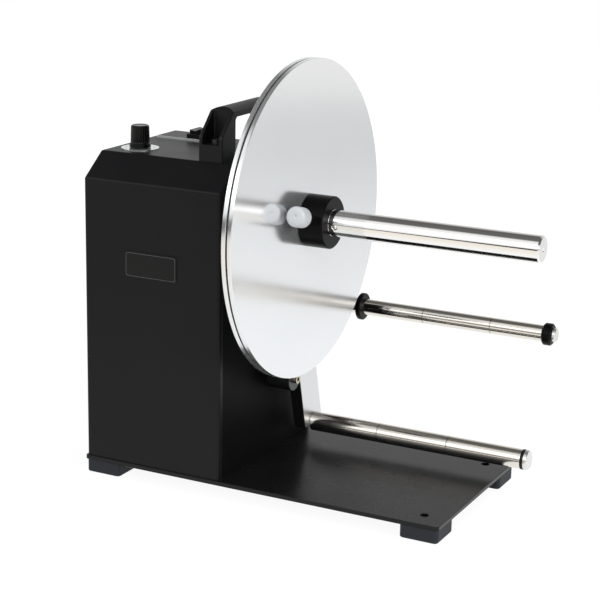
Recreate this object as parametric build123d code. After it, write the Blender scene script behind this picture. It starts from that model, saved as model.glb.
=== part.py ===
from build123d import *
import os
from math import acos, asin, atan2, ceil, cos, degrees, hypot, pi, radians, sin, tan

# Bench-top powered label rewinder, in millimetres. While it is drawn, X runs along the
# spindle away from the left end of the base, Y runs rearwards from the spindle axis and
# Z runs up from the bench. The last section moves everything to the stored origin.

# ---------------------------------------------------------------- driving dimensions
# Base and feet
base_length = 360.0
base_depth = 186.0
base_thickness = 4.0
base_corner = 3.0
edge_break = 0.4
foot_side = 36.0
foot_height = 12.5
foot_inset = 1.0
foot_corner = 4.0
bench_hole_radius = 4.0
bench_hole_from_end = 21.5
bench_hole_from_side = 20.5

# Sheet-metal housing
housing_left = 1.5
housing_width = 142.0
housing_from_base_edge = 1.5
housing_height = 286.5
sheet = 2.0
bend_radius = 3.0
front_slope_depth = 28.0
front_slope_height = 21.0
rear_slope_depth = 36.0
rear_slope_height = 26.0
side_return = 7.0
seam_gap = 0.3
rear_screw_from_floor = 12.0
rear_screw_below_slope = 47.0
side_plate_thickness = 6.0
left_panel_thickness = 3.0
foot_flange_width = 18.0

# Spindle and its bearings
spindle_height = 230.5
core_shaft_radius = 12.25
core_shaft_end = 408.0
shaft_end_chamfer = 1.5
relief_groove_width = 1.0
relief_groove_depth = 0.3
centre_drill_radius = 2.0
journal_radius = 8.5
bearing_radius = 20.0
bearing_width = 12.0
bearing_ring_radius = 12.0
bearing_shoulder_radius = 17.0
shoulder_radius = 10.5
collar_radius = 20.0
collar_thickness = 5.0
nose_radius = 23.0
nose_length = 20.0
housing_flange_radius = 42.0
housing_flange_thickness = 6.0
spigot_radius = 25.0
spigot_length = 34.0
flange_bolt_circle = 36.0

# Discs and clamping hub
disc_radius = 146.0
disc_thickness = 4.0
disc_from_side = 31.9
liner_thickness = 1.4
liner_radius = 142.5
hub_radius = 24.0
hub_length = 24.0
hub_screw_circle = 18.0
thumb_angle = 166.0
thumb_stud_radius = 3.0
thumb_knob_radius = 8.25
thumb_knob_length = 17.0
thumb_knob_reach = 54.0
detent_ball_radius = 2.5
detent_ball_from_hub = 7.0

# Tension arm and its roller
arm_from_side = 10.5
arm_thickness = 12.0
arm_width = 35.0
arm_boss_radius = 36.0
arm_rest_angle = 14.5
arm_roller_radius = 219.0
arm_end_height = 31.5
arm_corner = 2.0
arm_edge_break = 0.6
bush_wall = 3.0
tension_tube_radius = 9.25
tension_tube_bore = 7.75
tension_tube_length = 214.5
tension_axle_radius = 5.0
tension_stub_radius = 4.0
end_gap = 0.4
tension_ring_width = 2.4
tension_cap_length = 4.0

# Fixed guide roller and its bracket
guide_y = 155.0
guide_z = 127.0
bracket_thickness = 5.0
bracket_width = 26.0
bracket_front = 44.0
guide_tube_radius = 8.0
guide_tube_bore = 7.0
guide_tube_length = 189.5
guide_axle_radius = 4.0
guide_shoulder_radius = 8.0
guide_shoulder_length = 17.8
guide_flange_radius = 13.5
guide_flange_width = 5.0
guide_ring_radius = 10.75
guide_ring_width = 9.0
guide_cap_radius = 6.75
guide_cap_length = 3.8
roller_plug_length = 9.0
roller_mark_stations = (237.0, 308.0)
roller_mark_width = 1.2
roller_mark_depth = 0.3

# Stop post
stop_drop = 157.0
stop_core_radius = 7.0
stop_sleeve_radius = 11.5
stop_length = 22.5
stop_washer_thickness = 1.2

# Drive
gear_module = 1.5
pressure_angle = 20.0
spindle_gear_teeth = 54
pinion_teeth = 18
gear_width = 10.0
pinion_width = 14.0
tooth_thinning = 0.08
gear_station = 84.5
gear_hub_radius = 15.0
gear_hub_length = 5.0
gear_web_circle = 26.5
gear_web_hole_radius = 6.5
gearbox_radius = 22.0
gearbox_length = 30.0
motor_radius = 19.0
motor_length = 34.0
motor_shaft_radius = 4.0
motor_plate_thickness = 4.0
motor_plate_width = 64.0
motor_foot_screw_margin = 12.0
motor_terminal_offset = 9.0

# Controls on top
dial_x = 27.5
dial_y = -37.0
dial_radius = 17.5
dial_thickness = 0.8
knob_radius = 8.5
knob_height = 20.5
knob_skirt_radius = 10.0
knob_skirt_height = 4.0
pot_shaft_radius = 3.0
pot_body_radius = 12.0
pot_body_height = 9.0
switch_plate_left = 9.0
switch_plate_width = 52.0
switch_plate_depth = 34.0
switch_plate_thickness = 2.0
switch_left = 40.0
switch_width = 19.0
switch_depth = 24.0
switch_bezel_height = 4.0
rocker_tilt = 8.0

# Carrying handle
handle_left = 105.0
handle_width = 24.0
handle_slope_margin = 0.5
handle_height = 46.5
handle_crown = 4.0
handle_grip_height = 38.0
handle_leg = 24.0
handle_upright = 22.0
handle_lean_angle = 46.0
handle_pocket_width = 17.0
handle_pocket_floor = 15.0
handle_pocket_depth = 21.0

# Blank badge on the front
badge_width = 54.5
badge_height = 24.5
badge_thickness = 0.8
badge_centre_height = 191.2

# Fits
fit_gap = 0.02
running_gap = 0.05
screw_gap = 0.1
seat_gap = 0.3

# ---------------------------------------------------------------- derived places
base_top = foot_height + base_thickness
housing_right = housing_left + housing_width
housing_depth = base_depth - 2 * housing_from_base_edge
housing_front = -housing_depth / 2
housing_rear = housing_depth / 2
housing_top = base_top + housing_height
top_front = housing_front + front_slope_depth
top_rear = housing_rear - rear_slope_depth
axis_z = base_top + spindle_height

flange_outer = housing_right + housing_flange_thickness
nose_end = flange_outer + nose_length
rear_disc_back = housing_right + disc_from_side
rear_disc_front = rear_disc_back + disc_thickness
liner_front = rear_disc_front + liner_thickness
front_disc_back = liner_front + 0.2
front_disc_front = front_disc_back + disc_thickness
hub_front = front_disc_front + hub_length
core_seat_start = hub_front + 0.5 + relief_groove_width
collar_back = rear_disc_back - collar_thickness
outer_bearing_station = nose_end - 2.0 - bearing_width
inner_bearing_station = housing_right - spigot_length - side_plate_thickness

arm_back = housing_right + arm_from_side
arm_front = arm_back + arm_thickness
arm_angle = radians(arm_rest_angle)
arm_roller_y = arm_roller_radius * sin(arm_angle)
arm_roller_z = axis_z - arm_roller_radius * cos(arm_angle)

bracket_front_face = housing_right + bracket_thickness

stop_z = axis_z - stop_drop
stop_reach = arm_width / 2 + stop_sleeve_radius + seat_gap
stop_y = (stop_drop * sin(arm_angle) - stop_reach) / cos(arm_angle)

centre_distance = gear_module * (spindle_gear_teeth + pinion_teeth) / 2
motor_z = axis_z - centre_distance
motor_plate_front = gear_station - 4.5
motor_plate_back = motor_plate_front - motor_plate_thickness


# ---------------------------------------------------------------- small helpers
def rod_x(radius, x_from, x_to, y=0.0, z=axis_z):
    """Round bar along X between two stations."""
    along = Cylinder(radius, x_to - x_from, align=(Align.CENTER, Align.CENTER, Align.MIN))
    return Location((x_from, y, z), (0, 90, 0)) * along


def rod_z(radius, z_from, z_to, x=0.0, y=0.0):
    """Round bar along Z between two heights."""
    along = Cylinder(radius, z_to - z_from, align=(Align.CENTER, Align.CENTER, Align.MIN))
    return Location((x, y, z_from)) * along


def rod_y(radius, y_from, y_to, x=0.0, z=0.0):
    """Round bar along Y between two stations."""
    along = Cylinder(radius, y_to - y_from, align=(Align.CENTER, Align.CENTER, Align.MIN))
    return Location((x, y_from, z), (-90, 0, 0)) * along


def tube_x(outer, inner, x_from, x_to, y=0.0, z=axis_z):
    """Tube along X with a through bore."""
    return rod_x(outer, x_from, x_to, y, z) - rod_x(inner, x_from - 1, x_to + 1, y, z)


def block(x_from, x_to, y_from, y_to, z_from, z_to):
    """Rectangular block between two corners."""
    size = (x_to - x_from, y_to - y_from, z_to - z_from)
    centre = ((x_from + x_to) / 2, (y_from + y_to) / 2, (z_from + z_to) / 2)
    return Location(centre) * Box(*size)


def prism_x(outline, x_from, x_to):
    """Prism along X from a closed list of (y, z) corners."""
    face = make_face(Polyline([(x_from, y, z) for y, z in outline], close=True))
    return extrude(face, amount=x_to - x_from, dir=(1, 0, 0))


def revolve_x(profile, y=0.0, z=axis_z):
    """Body of revolution about a line along X from (x, radius) corners."""
    face = make_face(Polyline([(x, 0, radius) for x, radius in profile], close=True))
    return Location((0, y, z)) * revolve(face, Axis.X)


def revolve_z(profile, x, y):
    """Body of revolution about a vertical line from (radius, z) corners."""
    face = make_face(Polyline([(radius, 0, z) for radius, z in profile], close=True))
    return Location((x, y, 0)) * revolve(face, Axis.Z)


def hexagon_x(across_flats, x_from, x_to, y, z):
    """Hexagonal bar along X."""
    face = RegularPolygon(across_flats / 2, 6, major_radius=False)
    along = extrude(face, amount=x_to - x_from)
    return Location((x_from, y, z), (0, 90, 0)) * along


def countersunk_screw(radius, length):
    """Screw along -Z with its flat head's top face at the origin."""
    head = Cone(radius, 2 * radius, radius, align=(Align.CENTER, Align.CENTER, Align.MAX))
    shank = Cylinder(radius, length, align=(Align.CENTER, Align.CENTER, Align.MAX))
    socket = extrude(RegularPolygon(radius * 0.6, 6), amount=-radius * 0.7)
    return head + shank - socket


def countersink(radius, length):
    """Clearance for a countersunk screw, opening at the origin and running along -Z."""
    wide = radius + screw_gap
    head = Cone(wide, 2 * radius + screw_gap, radius, align=(Align.CENTER, Align.CENTER, Align.MAX))
    shank = Cylinder(wide, length + screw_gap, align=(Align.CENTER, Align.CENTER, Align.MAX))
    return head + shank


def button_screw(radius, length, head_radius, head_height):
    """Screw along -Z whose rounded head stands on the origin plane."""
    head = Cylinder(head_radius, head_height, align=(Align.CENTER, Align.CENTER, Align.MIN))
    head = fillet(head.edges().sort_by(Axis.Z)[-1], head_height * 0.6)
    shank = Cylinder(radius, length, align=(Align.CENTER, Align.CENTER, Align.MAX))
    hexagon = RegularPolygon(radius * 0.6, 6)
    socket = Location((0, 0, head_height)) * extrude(hexagon, amount=-head_height * 0.6)
    return head + shank - socket


def facing(x, y, z, towards):
    """Location whose local +Z points along the named machine direction."""
    turns = {"+x": (0, 90, 0), "-x": (0, -90, 0), "+y": (-90, 0, 0), "-z": (180, 0, 0)}
    return Location((x, y, z), turns[towards])


nodes = {}


def add(name, shape):
    """Keeps a finished piece under its node name."""
    nodes[name] = shape


# ---------------------------------------------------------------- base and feet
foot_centres = [
    (x, side * (base_depth / 2 - foot_inset - foot_side / 2))
    for x in (foot_inset + foot_side / 2, base_length - foot_inset - foot_side / 2)
    for side in (-1, 1)
]
bench_hole_x = base_length - bench_hole_from_end
bench_hole_y = base_depth / 2 - bench_hole_from_side
foot_screw_radius = 2.0
foot_screw_offset = 11.0
foot_screw_length = foot_height + base_thickness - 2.0
foot_screw_head_depth = 3.0
frame_screw_radius = 2.5
frame_screw_length = 9.0
frame_screw_y = 45.0
foot_screw_places = [(x, y + side * foot_screw_offset) for x, y in foot_centres for side in (-1, 1)]

side_plate_back = housing_right - side_plate_thickness
left_panel_back = housing_left + left_panel_thickness
frame_screw_places = [
    (x, side * frame_screw_y)
    for x in (side_plate_back - foot_flange_width / 2, left_panel_back + foot_flange_width / 2)
    for side in (-1, 1)
]
motor_foot_x = motor_plate_back - foot_flange_width / 2
motor_foot_screw_y = motor_plate_width / 2 - motor_foot_screw_margin
frame_screw_places += [(motor_foot_x, side * motor_foot_screw_y) for side in (-1, 1)]


def make_base_plate():
    """Flat plate with two bench holes, foot screw holes and countersunk frame screw holes."""
    plate = block(0, base_length, -base_depth / 2, base_depth / 2, foot_height, base_top)
    plate = fillet(plate.edges().filter_by(Axis.Z), base_corner)
    plate = chamfer(plate.faces().filter_by(Axis.Z).edges(), edge_break)
    for side in (-1, 1):
        plate -= rod_z(bench_hole_radius, 0, base_top + 1, bench_hole_x, side * bench_hole_y)
    for x, y in foot_screw_places:
        plate -= rod_z(foot_screw_radius + screw_gap, 0, base_top - 1.5, x, y)
    for x, y in frame_screw_places:
        plate -= facing(x, y, foot_height, "-z") * countersink(frame_screw_radius, frame_screw_length)
    return plate


def make_foot(x, y):
    """Square rubber block with soft corners and recesses for its two screws."""
    half = foot_side / 2
    foot = block(x - half, x + half, y - half, y + half, 0, foot_height)
    foot = fillet(foot.edges().filter_by(Axis.Z), foot_corner)
    foot = fillet(foot.faces().sort_by(Axis.Z)[0].edges(), 1.5)
    for side in (-1, 1):
        place = y + side * foot_screw_offset
        foot -= rod_z(foot_screw_radius + screw_gap, 0, foot_height + 1, x, place)
        foot -= rod_z(2 * foot_screw_radius + screw_gap, -1, foot_screw_head_depth, x, place)
    if x > base_length / 2:
        hole_y = bench_hole_y if y > 0 else -bench_hole_y
        foot -= rod_z(bench_hole_radius, -1, foot_height + 1, bench_hole_x, hole_y)
    return foot


def make_foot_screw(x, y):
    """Pan-head screw driven up through a foot into the base plate."""
    head_top = foot_screw_head_depth
    head = rod_z(2 * foot_screw_radius, head_top - 2.0, head_top, x, y)
    return head + rod_z(foot_screw_radius, head_top, foot_screw_length, x, y)


add("base_plate", make_base_plate())
add("rubber_feet", [make_foot(x, y) for x, y in foot_centres])
add("foot_screws", [make_foot_screw(x, y) for x, y in foot_screw_places])


# ---------------------------------------------------------------- housing
def housing_outline(inset, bottom):
    """Side view of the housing, drawn in by an even inset, as (y, z) corners."""
    front_turn = atan2(front_slope_height, front_slope_depth)
    rear_turn = atan2(rear_slope_height, rear_slope_depth)
    front_low = inset * tan((pi / 2 - front_turn) / 2)
    front_high = inset * tan(front_turn / 2)
    rear_low = inset * tan((pi / 2 - rear_turn) / 2)
    rear_high = inset * tan(rear_turn / 2)
    front, rear, top = housing_front + inset, housing_rear - inset, housing_top - inset
    return [
        (front, bottom),
        (front, housing_top - front_slope_height - front_low),
        (top_front + front_high, top),
        (top_rear - rear_high, top),
        (rear, housing_top - rear_slope_height - rear_low),
        (rear, bottom),
    ]


switch_plate_back = top_rear
switch_plate_front = switch_plate_back - switch_plate_depth
switch_front = switch_plate_front + 2.6
switch_cut_margin = 0.8
handle_front = top_front + handle_slope_margin
handle_rear = top_rear - handle_slope_margin
handle_screw_radius = 2.5
handle_screw_y = (handle_front + handle_leg * 0.42, handle_rear - handle_leg * 0.42)
handle_middle = handle_left + handle_width / 2
pot_bush_radius = 3.5
cover_screw_radius = 2.0
cover_screw_length = 10.0
rear_screw_x = (housing_left + 14.0, housing_right - 14.0)
rear_screw_z = (base_top + rear_screw_from_floor, housing_top - rear_slope_height - rear_screw_below_slope)
lug_depth = 12.0
inlet_x = housing_left + 40.0
inlet_z = base_top + 32.0
inlet_radius = 5.5
gland_margin = 0.2


def make_wrap_cover():
    """Folded cover: front, sloped front, top, sloped rear and rear, with short side returns."""
    outer = prism_x(housing_outline(0, base_top), housing_left, housing_right)
    fold_edges = [
        edge
        for edge in outer.edges()
        if edge.center().Z > base_top + 0.1 and edge.length > 5.0
    ]
    outer = fillet(fold_edges, bend_radius)
    inner = prism_x(housing_outline(sheet, base_top - 1), housing_left + sheet, housing_right - sheet)
    window = prism_x(housing_outline(side_return, base_top - 1), housing_left - 1, housing_right + 1)
    cover = outer - inner - window
    cover -= rod_z(pot_bush_radius + screw_gap, housing_top - 5, housing_top + 1, dial_x, dial_y)
    cover -= block(
        switch_left + switch_cut_margin,
        switch_left + switch_width - switch_cut_margin,
        switch_front + switch_cut_margin,
        switch_front + switch_depth - switch_cut_margin,
        housing_top - 5,
        housing_top + 1,
    )
    for y in handle_screw_y:
        cover -= rod_z(handle_screw_radius + screw_gap, housing_top - 5, housing_top + 1, handle_middle, y)
    for x in rear_screw_x:
        for z in rear_screw_z:
            cover -= rod_y(cover_screw_radius + screw_gap, housing_rear - 5, housing_rear + 1, x, z)
    cover -= rod_y(inlet_radius + gland_margin, housing_rear - 5, housing_rear + 1, inlet_x, inlet_z)
    return cover


def side_wall(x_outer, x_inner, sheet_inner, flange_tip):
    """Side wall with a rebated edge that seats behind the cover's returns, and a foot flange."""
    window = prism_x(housing_outline(side_return + seam_gap, base_top), x_outer, x_inner)
    behind_from, behind_to = sorted((sheet_inner, x_inner))
    behind = prism_x(housing_outline(sheet + seam_gap, base_top), behind_from, behind_to)
    low, high = sorted((x_inner, flange_tip))
    flange = block(low, high, housing_front + 12, housing_rear - 12, base_top, base_top + 5)
    return window + behind + flange


def rear_lugs(x_inner, direction):
    """Square lugs inside the rear wall that take the cover screws."""
    lugs = None
    wall = housing_rear - sheet - seam_gap
    near, far = sorted((x_inner, x_inner + direction * lug_depth))
    for z in rear_screw_z:
        lug = block(near, far, wall - 10, wall, z - 6, z + 6)
        lugs = lug if lugs is None else lugs + lug
    return lugs


def drill_frame_screws(wall):
    """Tapped holes for the frame screws, entering from below."""
    for x, y in frame_screw_places:
        wall -= rod_z(frame_screw_radius + screw_gap, base_top - 1, base_top + 6, x, y)
    return wall


def drill_rear_screws(wall):
    """Tapped holes for the cover screws, entering from the rear."""
    for x in rear_screw_x:
        for z in rear_screw_z:
            wall -= rod_y(cover_screw_radius + screw_gap, housing_rear - 13, housing_rear, x, z)
    return wall


flange_bolt_places = [
    (flange_bolt_circle * cos(radians(angle)), axis_z + flange_bolt_circle * sin(radians(angle)))
    for angle in (45, 135, 225, 315)
]
bracket_screw_y = (bracket_front + 11.0, bracket_front + 31.0)
stop_stud_radius = 4.0
stop_stud_length = 5.0


def make_spindle_side_plate():
    """Thick right-hand wall that carries the spindle, the guide bracket and the stop post."""
    lip_edge = housing_right - sheet - seam_gap / 3
    plate = side_wall(housing_right, side_plate_back, lip_edge, side_plate_back - foot_flange_width)
    plate += rear_lugs(side_plate_back, -1)
    plate -= rod_x(spigot_radius + fit_gap, side_plate_back - 1, housing_right + 1)
    for y, z in flange_bolt_places:
        plate -= rod_x(frame_screw_radius + screw_gap, side_plate_back - 1, housing_right + 1, y, z)
    for y in bracket_screw_y:
        plate -= rod_x(cover_screw_radius + screw_gap, side_plate_back - 1, housing_right + 1, y, guide_z)
    plate -= rod_x(stop_stud_radius + screw_gap, side_plate_back - 1, housing_right + 1, stop_y, stop_z)
    return drill_rear_screws(drill_frame_screws(plate))


board_depth = 52.0
board_from_rear = 13.5
board_front = housing_rear - board_from_rear - board_depth
board_bottom = base_top + 40.0
board_height = 78.0
board_thickness = 1.6
board_part_margin = 12.0
heat_sink_z = board_bottom + board_height - 28.0
heat_sink_reach = 14.0
heat_sink_thickness = 4.0
capacitor_radius = 5.0
capacitor_length = 12.0
capacitor_z = board_bottom + 22.0
terminal_height = 8.0
terminal_z = board_bottom + board_height - 2 * terminal_height
standoff_length = 8.0
standoff_radius = 3.0
standoff_margin = 5.0
standoff_places = [
    (y, z)
    for y in (board_front + standoff_margin, board_front + board_depth - standoff_margin)
    for z in (board_bottom + standoff_margin, board_bottom + board_height - standoff_margin)
]


def make_left_side_panel():
    """Thin left-hand wall with four pressed-in studs that carry the control board."""
    lip_edge = housing_left + sheet + seam_gap / 3
    panel = side_wall(housing_left, left_panel_back, lip_edge, left_panel_back + foot_flange_width)
    face = left_panel_back + standoff_length
    for y, z in standoff_places:
        panel += rod_x(standoff_radius, left_panel_back - 1, face, y, z)
        panel += rod_x(1.5, face, face + board_thickness + 1.5, y, z)
    panel += rear_lugs(left_panel_back, 1)
    return drill_rear_screws(drill_frame_screws(panel))


add("wrap_cover", make_wrap_cover())
add("spindle_side_plate", make_spindle_side_plate())
add("left_side_panel", make_left_side_panel())
cover_screw = button_screw(cover_screw_radius, cover_screw_length, 3.8, 2.2)
cover_screw_seats = [facing(x, housing_rear, z, "+y") for x in rear_screw_x for z in rear_screw_z]
cover_screw_seats += [facing(bracket_front_face, y, guide_z, "+x") for y in bracket_screw_y]
add("button_screws", [seat * cover_screw for seat in cover_screw_seats])


def make_badge_plate():
    """Blank rectangular badge on the front."""
    middle = housing_left + housing_width / 2
    low = base_top + badge_centre_height - badge_height / 2
    plate = block(
        middle - badge_width / 2,
        middle + badge_width / 2,
        housing_front - badge_thickness,
        housing_front,
        low,
        low + badge_height,
    )
    plate = fillet(plate.edges().filter_by(Axis.Y), 1.5)
    return chamfer(plate.faces().sort_by(Axis.Y)[0].edges(), 0.3)


add("badge_plate", make_badge_plate())


# ---------------------------------------------------------------- bearings and spindle
def make_bearing_housing():
    """Flanged housing: spigot inside the wall, round nose outside that the arm turns on."""
    body = revolve_x(
        [
            (inner_bearing_station, bearing_radius + fit_gap),
            (inner_bearing_station, spigot_radius),
            (housing_right, spigot_radius),
            (housing_right, housing_flange_radius),
            (flange_outer, housing_flange_radius),
            (flange_outer, nose_radius),
            (arm_front + 0.2, nose_radius),
            (arm_front + 0.2, nose_radius - 1.3),
            (arm_front + 2.0, nose_radius - 1.3),
            (arm_front + 2.0, nose_radius),
            (nose_end, nose_radius),
            (nose_end, bearing_radius + fit_gap),
            (outer_bearing_station, bearing_radius + fit_gap),
            (outer_bearing_station, bearing_shoulder_radius),
            (inner_bearing_station + bearing_width, bearing_shoulder_radius),
            (inner_bearing_station + bearing_width, bearing_radius + fit_gap),
        ]
    )
    for y, z in flange_bolt_places:
        body -= facing(flange_outer, y, z, "+x") * countersink(frame_screw_radius, frame_screw_length)
    return body


def bearing_outer_ring(station):
    """Outer ring with its shields, reaching in to a narrow gap round the inner ring."""
    return tube_x(bearing_radius, bearing_ring_radius + 0.15, station, station + bearing_width)


def bearing_inner_ring(station):
    """Inner ring that turns with the spindle."""
    return tube_x(bearing_ring_radius, journal_radius + fit_gap, station, station + bearing_width)


circlip_station = inner_bearing_station - 1.4
gear_key_width = 5.0
gear_key_depth = 2.0
gear_key_length = gear_width + gear_hub_length


def make_spindle_shaft():
    """Stepped spindle: keyed journal inside, shoulder, collar, then the core shaft."""
    outer_ring_end = outer_bearing_station + bearing_width
    body = revolve_x(
        [
            (gear_station - 2.0, 0),
            (gear_station - 2.0, journal_radius),
            (circlip_station, journal_radius),
            (circlip_station, journal_radius - 0.7),
            (circlip_station + 1.3, journal_radius - 0.7),
            (circlip_station + 1.3, journal_radius),
            (outer_ring_end, journal_radius),
            (outer_ring_end, shoulder_radius),
            (collar_back, shoulder_radius),
            (collar_back, collar_radius),
            (rear_disc_back, collar_radius),
            (rear_disc_back, core_shaft_radius),
            (hub_front + 0.5, core_shaft_radius),
            (hub_front + 0.5, core_shaft_radius - relief_groove_depth),
            (core_seat_start, core_shaft_radius - relief_groove_depth),
            (core_seat_start, core_shaft_radius),
            (core_shaft_end - shaft_end_chamfer, core_shaft_radius),
            (core_shaft_end, core_shaft_radius - shaft_end_chamfer),
            (core_shaft_end, centre_drill_radius),
            (core_shaft_end - 2 * centre_drill_radius, 0),
        ]
    )
    key_bottom = axis_z + journal_radius - gear_key_depth
    body -= block(
        gear_station - 2.0,
        gear_station + gear_key_length,
        -gear_key_width / 2,
        gear_key_width / 2,
        key_bottom,
        axis_z + journal_radius,
    )
    return body - detent_place() * detent_pocket()


def detent_place():
    """Where the spring ball sits on the core shaft, just outside the hub."""
    return Location((hub_front + detent_ball_from_hub, 0, axis_z), (thumb_angle - 90 + 20, 0, 0))


def detent_pocket():
    """Blind hole for the ball with a countersunk mouth, along local +Z from the shaft axis."""
    depth_floor = core_shaft_radius - 2 * detent_ball_radius - 0.3
    hole = rod_z(detent_ball_radius + running_gap, depth_floor, core_shaft_radius + 1)
    mouth = Location((0, 0, core_shaft_radius - 0.5)) * Cone(
        detent_ball_radius, detent_ball_radius + 0.9, 0.9, align=(Align.CENTER, Align.CENTER, Align.MIN)
    )
    return hole + mouth


def make_detent_ball():
    """Steel ball that stands just level with the shaft's surface."""
    seat = Location((0, 0, core_shaft_radius - detent_ball_radius - 0.05))
    return detent_place() * seat * Sphere(detent_ball_radius)


def make_circlip(groove_radius, outer_radius, station, thickness, opening):
    """Spring ring for a shaft groove, open at the bottom."""
    ring = tube_x(outer_radius, groove_radius + fit_gap, station, station + thickness)
    half = opening / 2
    return ring - block(station - 1, station + thickness + 1, -half, half, axis_z - outer_radius - 1, axis_z)


add("bearing_housing", make_bearing_housing())
frame_screw = countersunk_screw(frame_screw_radius, frame_screw_length)
frame_screw_seats = [facing(x, y, foot_height, "-z") for x, y in frame_screw_places]
frame_screw_seats += [facing(flange_outer, y, z, "+x") for y, z in flange_bolt_places]
add("countersunk_screws", [seat * frame_screw for seat in frame_screw_seats])
bearing_stations = (inner_bearing_station, outer_bearing_station)
add("bearing_outer_rings", [bearing_outer_ring(station) for station in bearing_stations])
add("bearing_inner_rings", [bearing_inner_ring(station) for station in bearing_stations])
add("spindle_shaft", make_spindle_shaft())
spindle_circlip = make_circlip(journal_radius - 0.7, journal_radius + 2.5, circlip_station + 0.1, 1.1, 8.0)
add("spindle_circlip", spindle_circlip)
add("detent_ball", make_detent_ball())


# ---------------------------------------------------------------- gears and motor
def involute(angle):
    """Involute function of a pressure angle in radians."""
    return tan(angle) - angle


def gear_outline(teeth, phase):
    """Closed outline of an involute spur gear, with a tooth centred on the phase angle."""
    pitch = gear_module * teeth / 2
    base = pitch * cos(radians(pressure_angle))
    tip = pitch + gear_module
    root = pitch - 1.25 * gear_module
    start = max(base, root)
    half_pitch_tooth = pi / (2 * teeth) - tooth_thinning / pitch + involute(radians(pressure_angle))
    flank = []
    steps = 4
    for step in range(steps + 1):
        radius = start + (tip - start) * step / steps
        flank.append((radius, half_pitch_tooth - involute(acos(base / radius))))
    if root < base:
        flank.insert(0, (root, flank[0][1]))
    corners = []
    for tooth in range(teeth):
        middle = phase + 2 * pi * tooth / teeth
        rising = [(radius, middle - half) for radius, half in flank]
        falling = [(radius, middle + half) for radius, half in reversed(flank)]
        corners += [(radius * cos(angle), radius * sin(angle)) for radius, angle in rising + falling]
    return corners


def make_gear(teeth, phase, width, station, height):
    """Spur gear blank with all its teeth, on an axis along X."""
    face = make_face(Polyline([(x, y, 0) for x, y in gear_outline(teeth, phase)], close=True))
    return Location((station, 0, height), (0, 90, 0)) * extrude(face, amount=width)


def make_spindle_gear():
    """Large gear with a keyed hub and five lightening holes."""
    gear = make_gear(spindle_gear_teeth, 0, gear_width, gear_station, axis_z)
    gear += rod_x(gear_hub_radius, gear_station, gear_station + gear_key_length)
    gear -= rod_x(journal_radius + fit_gap, gear_station - 1, gear_station + gear_key_length + 1)
    for index in range(5):
        angle = radians(90 + 72 * index)
        y, z = gear_web_circle * cos(angle), axis_z + gear_web_circle * sin(angle)
        gear -= rod_x(gear_web_hole_radius, gear_station - 1, gear_station + gear_width + 1, y, z)
    keyway = block(
        gear_station - 1,
        gear_station + gear_key_length + 1,
        -gear_key_width / 2,
        gear_key_width / 2,
        axis_z,
        axis_z + journal_radius + gear_key_depth + screw_gap,
    )
    return gear - keyway


def make_gear_key():
    """Parallel key between the spindle and its gear."""
    half = gear_key_width / 2 - fit_gap
    low = axis_z + journal_radius - gear_key_depth
    return block(gear_station, gear_station + gear_key_length, -half, half, low, low + 2 * gear_key_depth)


pinion_station = motor_plate_front + 2.5


def make_motor_pinion():
    """Small gear on the gearbox output shaft, with a tooth gap facing the large gear."""
    pinion = make_gear(pinion_teeth, pi / pinion_teeth, pinion_width, pinion_station, motor_z)
    bore_end = pinion_station + pinion_width + 1
    return pinion - rod_x(motor_shaft_radius + fit_gap, pinion_station - 1, bore_end, 0, motor_z)


gearbox_back = motor_plate_back - gearbox_length
motor_back = gearbox_back - motor_length
gearbox_nose_radius = 8.0
gearbox_screw_circle = 15.5
gearbox_screw_radius = 1.5
gearbox_screw_places = [
    (gearbox_screw_circle * cos(radians(angle)), motor_z + gearbox_screw_circle * sin(radians(angle)))
    for angle in (45, 135, 225, 315)
]


def make_gearbox():
    """Round gearbox with its register, bored for the output shaft."""
    body = rod_x(gearbox_radius, gearbox_back, motor_plate_back, 0, motor_z)
    body += rod_x(gearbox_nose_radius, motor_plate_back, motor_plate_front, 0, motor_z)
    body -= rod_x(motor_shaft_radius + running_gap, gearbox_back + 8.0, motor_plate_front + 1, 0, motor_z)
    for y, z in gearbox_screw_places:
        body -= rod_x(gearbox_screw_radius + screw_gap, motor_plate_back - 8.0, motor_plate_back, y, z)
    return body


def make_motor():
    """Motor can with a narrowed rear cap and two terminals."""
    body = revolve_x(
        [
            (motor_back, 0),
            (motor_back, motor_radius - 5.0),
            (motor_back + 3.0, motor_radius - 5.0),
            (motor_back + 3.0, motor_radius),
            (gearbox_back, motor_radius),
            (gearbox_back, 0),
        ],
        0,
        motor_z,
    )
    for side in (-1, 1):
        y = side * motor_terminal_offset
        body += block(motor_back - 4.0, motor_back, y - 1.5, y + 1.5, motor_z - 0.4, motor_z + 0.4)
    return body


def make_motor_bracket():
    """Angle bracket: upright plate for the gearbox and a foot screwed to the base."""
    half = motor_plate_width / 2
    top = motor_z + gearbox_radius + 4.0
    upright = block(motor_plate_back, motor_plate_front, -half, half, base_top, top)
    upright = fillet(upright.edges().filter_by(Axis.X).sort_by(Axis.Z)[-2:], 6.0)
    foot = block(motor_plate_back - foot_flange_width, motor_plate_back, -half, half, base_top, base_top + 5)
    bracket = upright + foot
    bracket -= rod_x(gearbox_nose_radius + screw_gap, motor_plate_back - 1, motor_plate_front + 1, 0, motor_z)
    for y, z in gearbox_screw_places:
        bracket -= rod_x(gearbox_screw_radius + screw_gap, motor_plate_back - 1, motor_plate_front + 1, y, z)
    return drill_frame_screws(bracket)


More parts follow.
